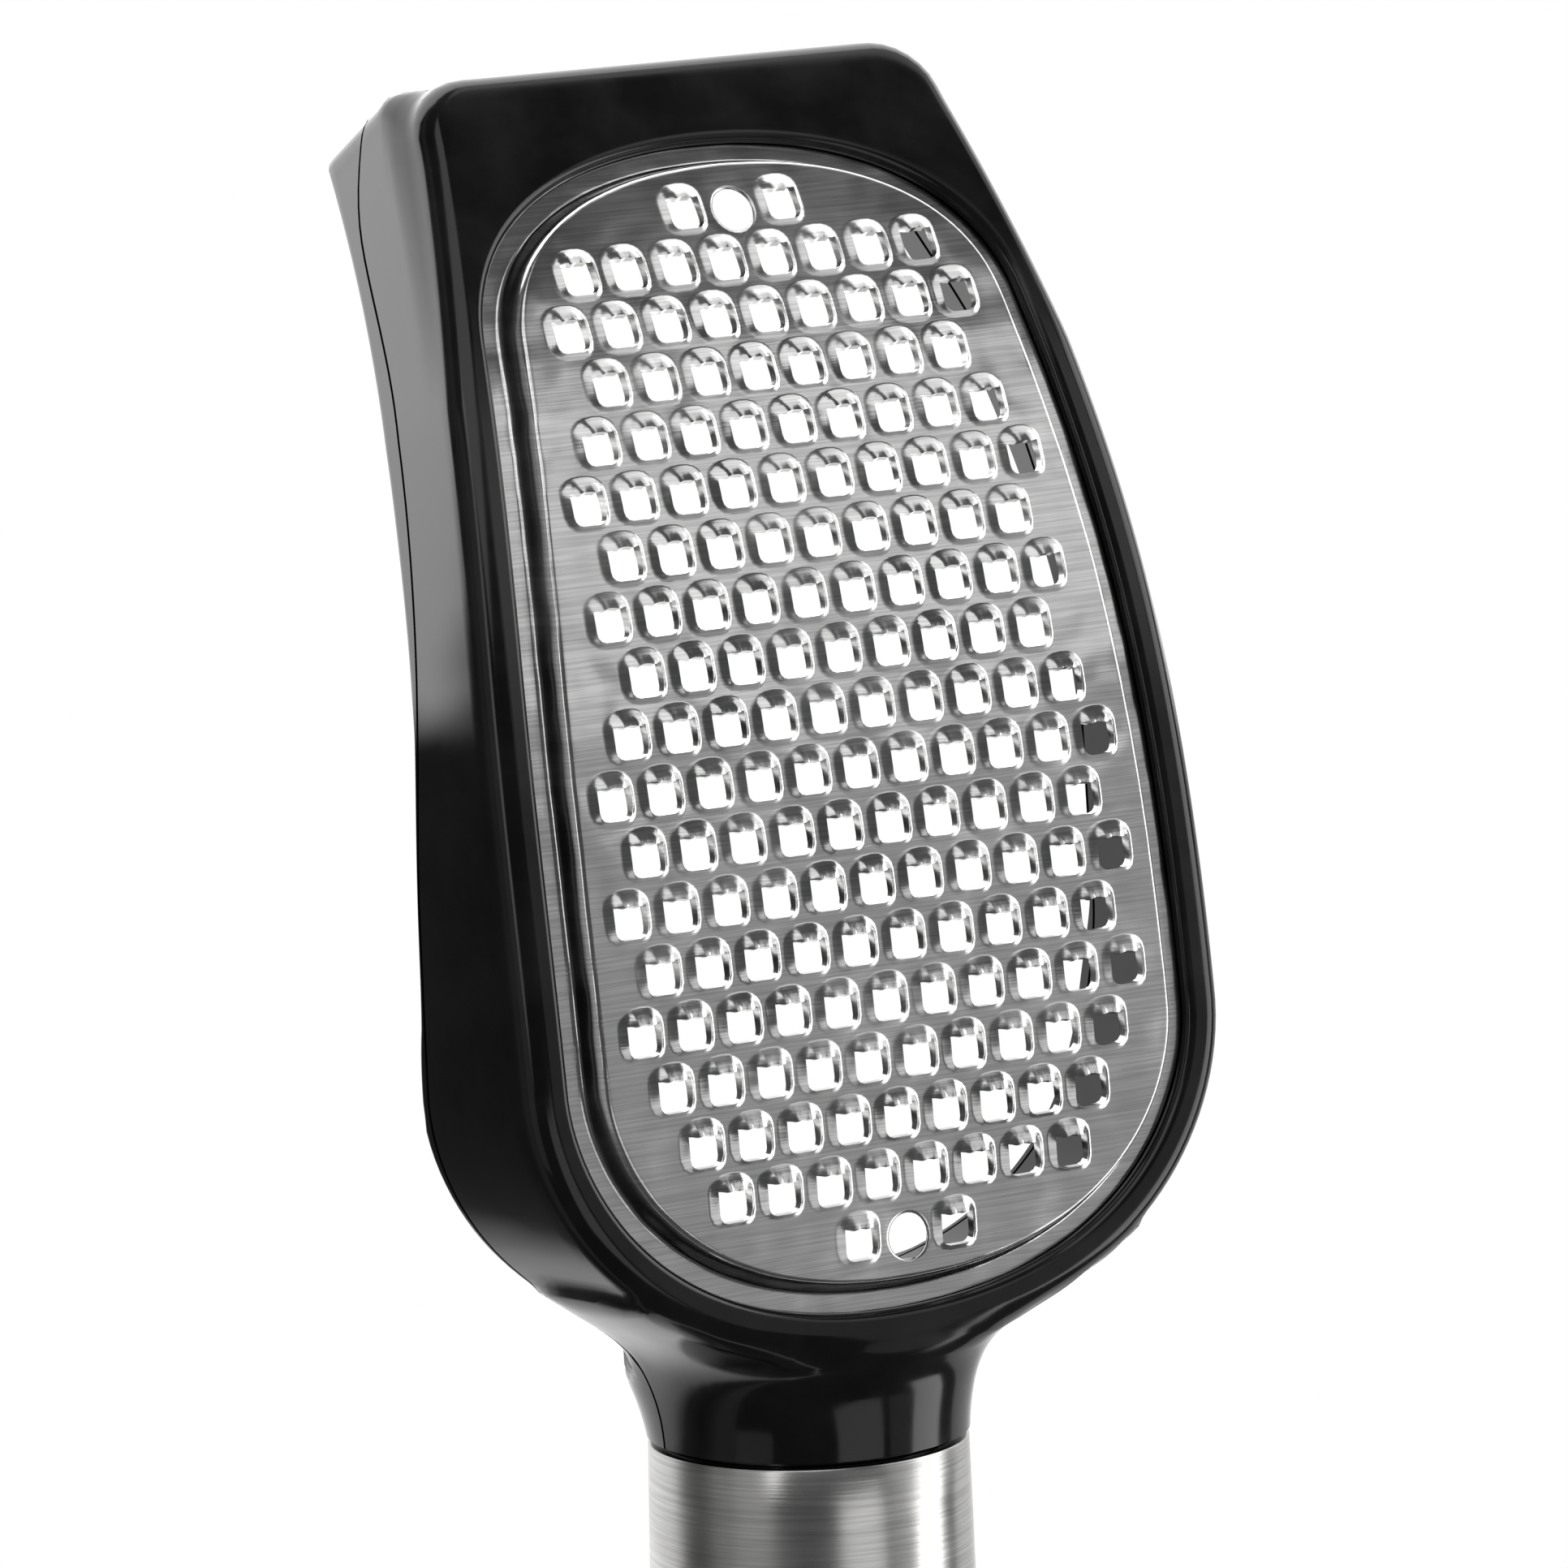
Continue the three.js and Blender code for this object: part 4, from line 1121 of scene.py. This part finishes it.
class GRATER_OT_handle_tube(bpy.types.Operator):
    """Models the handle's steel tube, slightly thicker in its middle, with rolled ends"""

    bl_idname = "grater.handle_tube"
    bl_label = "Handle tube"

    def execute(self, context):
        _, _, handle = sizes()
        top = tube_top()
        wall, edge = handle.tube_wall, handle.tube_edge

        def radius(share):
            return handle.tube_end_radius + handle.tube_bulge * (1 - (2 * share - 1) ** 2)

        shares = np.linspace(0, 1, 33)
        ends = edge / handle.tube_length
        run = np.clip(shares, ends, 1 - ends)
        outer = [(radius(s), top - handle.tube_length * s) for s in run]
        inner = [(radius(s) - wall, top - handle.tube_length * s) for s in run[::-1]]
        bottom = top - handle.tube_length
        first, last, rolled = radius(0), radius(1), edge * 0.3
        lower = [(last - rolled, bottom + rolled), (last - edge, bottom), (last - wall, bottom)]
        upper = [(first - wall, top), (first - edge, top), (first - rolled, top - rolled)]
        piece = lathed("handle_tube_barrel", outer + lower + inner + upper, 144)
        finished(piece, "handle_tube", tube_steel(), sharp_from=35)
        return {"FINISHED"}


class GRATER_OT_tang(bpy.types.Operator):
    """Models the round tang of the head inside the tube"""

    bl_idname = "grater.tang"
    bl_label = "Tang"

    def execute(self, context):
        _, _, handle = sizes()
        radius = handle.tube_end_radius - handle.tube_wall - handle.plug_clearance
        chamfer, start, end = handle.plug_chamfer, 0.0002, -handle.neck_plug_length
        profile = [(0, start), (radius, start), (radius, end + chamfer), (radius - chamfer, end), (0, end)]
        piece = lathed("tang", profile, 64)
        finished(piece, None, gloss_plastic(), sharp_from=30)
        return {"FINISHED"}


# How far the blocks that cut the cap reach beyond it
CUTTER_REACH = 0.04


class GRATER_OT_end_cap(bpy.types.Operator):
    """Models the cap on the handle's end, flattened to a tongue with a hanging eye"""

    bl_idname = "grater.end_cap"
    bl_label = "End cap"

    def execute(self, context):
        _, _, handle = sizes()
        bottom = tube_top() - handle.tube_length
        seat = bottom - handle.collar_gap
        tip = seat - handle.cap_length
        centre = tip + handle.cap_tip_radius
        wide = handle.tube_end_radius
        plug = wide - handle.tube_wall - handle.plug_clearance
        plug_end = bottom + handle.cap_plug_length
        start = seat - handle.cap_shoulder
        dome = bezier([(0, tip), (handle.cap_tip_radius, tip), (wide, centre), (wide, start)], 33)
        profile = [
            *map(tuple, dome),
            (wide, seat - handle.tube_edge),
            (wide - handle.tube_edge, seat),
            (plug, seat),
            (plug, plug_end - handle.plug_chamfer),
            (plug - handle.plug_chamfer, plug_end),
            (0, plug_end),
        ]
        piece = lathed("end_cap_moulding", profile, 96)
        flat, far = handle.cap_tongue / 2, 0.03
        t = np.linspace(0, 1, 25)[:, None]
        first, bend, last = np.array([(start, wide), (start - handle.cap_shoulder, flat), (centre, flat)])
        scoop = (1 - t) ** 2 * first + 2 * (1 - t) * t * bend + t**2 * last
        outline = [*map(tuple, scoop), (tip - far, flat), (tip - far, far), (start, far)]
        eye = self.eye(tip + handle.eye_from_tip, handle)
        for cutter in (self.cutter(outline, 1), self.cutter(outline, -1), eye):
            modified(piece, "BOOLEAN", operation="DIFFERENCE", solver="EXACT", object=cutter)
            bpy.data.objects.remove(cutter)
        bevel = {"width": handle.cap_edge, "segments": 4, "limit_method": "ANGLE"}
        modified(piece, "BEVEL", angle_limit=math.radians(38), **bevel)
        finished(piece, "end_cap", gloss_plastic(), sharp_from=30)
        return {"FINISHED"}

    @staticmethod
    def cutter(outline, side):
        """A block across the cap that leaves one face of its tongue."""
        deselect()
        bpy.ops.mesh.primitive_circle_add(vertices=len(outline), fill_type="NGON")
        piece = drawn("cutter", np.array([(-CUTTER_REACH, y, side * z) for y, z in outline]))
        with edited(piece):
            bpy.ops.mesh.extrude_region_move(TRANSFORM_OT_translate={"value": (2 * CUTTER_REACH, 0, 0)})
            bpy.ops.mesh.select_all(action="SELECT")
            bpy.ops.mesh.normals_make_consistent(inside=False)
        return piece

    @staticmethod
    def eye(y, handle):
        """A round bar where the hanging eye goes."""
        deselect()
        size = {"radius": handle.eye_radius, "depth": CUTTER_REACH}
        bpy.ops.mesh.primitive_cylinder_add(vertices=64, location=(0, y, 0), **size)
        bpy.ops.object.transform_apply(location=True, rotation=True, scale=True)
        return bpy.context.object


# Name, place from the head, width, height and radiance of every light
LIGHTS = (
    ("right", (0.87, -0.05, 0.49), 1.2, 0.46, 2.5),
    ("low right", (0.78, 0.6, 0.14), 1.1, 0.42, 1.1),
    ("left", (-0.95, 0, 0.25), 1.2, 0.50, 0.30),
    ("high left", (-0.78, 0.35, 0.53), 0.8, 0.16, 1.6),
    ("overhead", (0.05, -0.3, 0.95), 0.56, 0.48, 0.8),
    ("side", (0.55, 0.1, 0.83), 1.2, 0.4, 0.3),
    ("upper side", (0.55, 0.36, 0.75), 0.34, 0.32, 0.5),
    ("back", (-0.2, 0.7, 0.66), 0.9, 0.58, 1.15),
)
LIGHTS_AIM = 0, 0.05, 0.02
SURROUND_COLOUR, SURROUND_STRENGTH = (0.97, 0.98, 1, 1), 0.09
FLOOR_LEVEL = -0.0002
# The floor as reflected, glowing with painted shade and light: its tones from left to right, dark beside
# the head as a painted contact shadow, its painted lit patch and how unsteady they are
FLOOR_SPAN = -0.1, 0.1
FLOOR_PAINTED_SHADE_AND_LIGHT = (0, 0.25), (0.26, 0.06), (0.35, 0.12), (0.39, 0.85), (0.46, 1.1), (0.66, 1.1), (0.8, 0.7)
PAINTED_LIGHT_PATCH_ALONG, PAINTED_LIGHT_PATCH_BESIDE, PAINTED_LIGHT_PATCH_TONE = (0.084, 0.095), (-0.047, -0.040), (3, 3, 3, 1)
FLOOR_WOBBLE = 0.006, 0.03, 0


class GRATER_OT_stage(bpy.types.Operator):
    """Sets up a pale floor, soft lights and the camera"""

    bl_idname = "grater.stage"
    bl_label = "Stage"

    def execute(self, context):
        stage = context.scene.grater_stage
        deselect()
        bpy.ops.mesh.primitive_plane_add(size=stage.floor_size, location=(0, 0, FLOOR_LEVEL))
        floor = context.object
        floor.name = "floor"
        floor.data.materials.append(self.floor_material(stage))
        self.world(context)
        for light in LIGHTS:
            self.soft_light(*light)
        bpy.ops.object.camera_add(location=stage.camera_place, rotation=stage.camera_turn)
        camera = context.object
        camera.name = "camera"
        camera.data.lens = stage.lens
        camera.data.sensor_width = 36
        camera.data.clip_start, camera.data.clip_end = 0.01, 20
        context.scene.camera = camera
        context.scene.view_settings.view_transform = "Standard"
        return {"FINISHED"}

    @staticmethod
    def floor_material(stage):
        """Pale floor that the camera sees as an even tone; to every other ray it glows with painted shade
        and light: dark beside the head as a painted contact shadow, brighter under it, and lit in patches
        as a painted pool of light.
        """
        material, tree, shader = new_material("pale_floor")
        where = tree.nodes.new("ShaderNodeTexCoord").outputs["Object"]
        wobble = add(tree, "ShaderNodeTexNoise", {"Vector": where}, scale=70, detail=2).outputs["Color"]
        shaken = add(tree, "ShaderNodeVectorMath", {0: wobble, 2: where}, operation="MULTIPLY_ADD")
        shaken.inputs[1].default_value = FLOOR_WOBBLE
        axes = add(tree, "ShaderNodeSeparateXYZ", {"Vector": shaken.outputs["Vector"]}).outputs

        def rising(axis, low, high, kind):
            values = {"interpolation_type": kind, "from_min": low, "from_max": high}
            return add(tree, "ShaderNodeMapRange", {"Value": axes[axis]}, **values).outputs["Result"]

        # Painted shade and light by x: the dark tones beside the head stand in for its contact shadow, the
        # bright ones under it for light
        under = ramp(tree, rising("X", *FLOOR_SPAN, "LINEAR"), FLOOR_PAINTED_SHADE_AND_LIGHT)
        # A painted pool of light, three times as bright as white
        along = rising("Y", *PAINTED_LIGHT_PATCH_ALONG, "SMOOTHSTEP")
        beside = rising("X", *PAINTED_LIGHT_PATCH_BESIDE, "SMOOTHSTEP")
        patch = add(tree, "ShaderNodeMath", {0: along, 1: beside}, operation="MULTIPLY").outputs["Value"]
        lit = add(tree, "ShaderNodeMix", {"Factor": patch, "A": under}, data_type="RGBA", b=PAINTED_LIGHT_PATCH_TONE)
        camera = tree.nodes.new("ShaderNodeLightPath").outputs["Is Camera Ray"]
        sockets = {"Factor": camera, "A": lit.outputs["Result"]}
        seen = add(tree, "ShaderNodeMix", sockets, data_type="RGBA", b=stage.floor_colour)
        feed(tree, shader, {"Emission Color": seen.outputs["Result"]})
        shader.inputs["Base Color"].default_value = 0, 0, 0, 1
        for name, value in (("Emission Strength", 1), ("Roughness", 1), ("Specular IOR Level", 0)):
            shader.inputs[name].default_value = value
        return material

    @staticmethod
    def world(context):
        """An even, dim surround."""
        world = context.scene.world or bpy.data.worlds.new("surround")
        context.scene.world = world
        world.use_nodes = True
        background = world.node_tree.nodes["Background"]
        background.inputs["Color"].default_value = SURROUND_COLOUR
        background.inputs["Strength"].default_value = SURROUND_STRENGTH

    @staticmethod
    def soft_light(name, spot, width, height, radiance):
        """A rectangular soft light that faces the head from a spot about a metre away."""
        bpy.ops.object.light_add(type="AREA", location=np.array(LIGHTS_AIM) + spot)
        light = bpy.context.object
        light.name = name
        light.data.shape = "RECTANGLE"
        light.data.size, light.data.size_y = width, height
        light.data.energy = radiance * math.pi * width * height
        flat = math.hypot(spot[0], spot[1])
        light.rotation_euler = math.atan2(flat, spot[2]), 0, math.atan2(spot[0], -spot[1])


class GRATER_PT_panel(bpy.types.Panel):
    """Buttons for the pieces and the stage"""

    bl_label = "Hand grater"
    bl_space_type = "VIEW_3D"
    bl_region_type = "UI"
    bl_category = "Grater"

    def draw(self, context):
        for operator in STEPS:
            self.layout.operator(operator.bl_idname)


GROUPS = {
    "grater_head": GraterHead,
    "grater_plate": GraterPlate,
    "grater_handle": GraterHandle,
    "grater_finish": GraterFinish,
    "grater_stage": GraterStage,
}
STEPS = (
    GRATER_OT_front_shell,
    GRATER_OT_back_shell,
    GRATER_OT_grating_plate,
    GRATER_OT_handle_tube,
    GRATER_OT_tang,
    GRATER_OT_end_cap,
    GRATER_OT_stage,
)


def register():
    for name, group in GROUPS.items():
        bpy.utils.register_class(group)
        setattr(bpy.types.Scene, name, PointerProperty(type=group))
    for operator in STEPS:
        bpy.utils.register_class(operator)
    bpy.utils.register_class(GRATER_PT_panel)


def unregister():
    bpy.utils.unregister_class(GRATER_PT_panel)
    for operator in reversed(STEPS):
        bpy.utils.unregister_class(operator)
    for name, group in GROUPS.items():
        delattr(bpy.types.Scene, name)
        bpy.utils.unregister_class(group)


def main():
    register()
    bpy.ops.grater.front_shell()
    bpy.ops.grater.back_shell()
    bpy.ops.grater.grating_plate()
    bpy.ops.grater.handle_tube()
    bpy.ops.grater.tang()
    bpy.ops.grater.end_cap()
    bpy.ops.grater.stage()


if __name__ == "__main__":
    main()
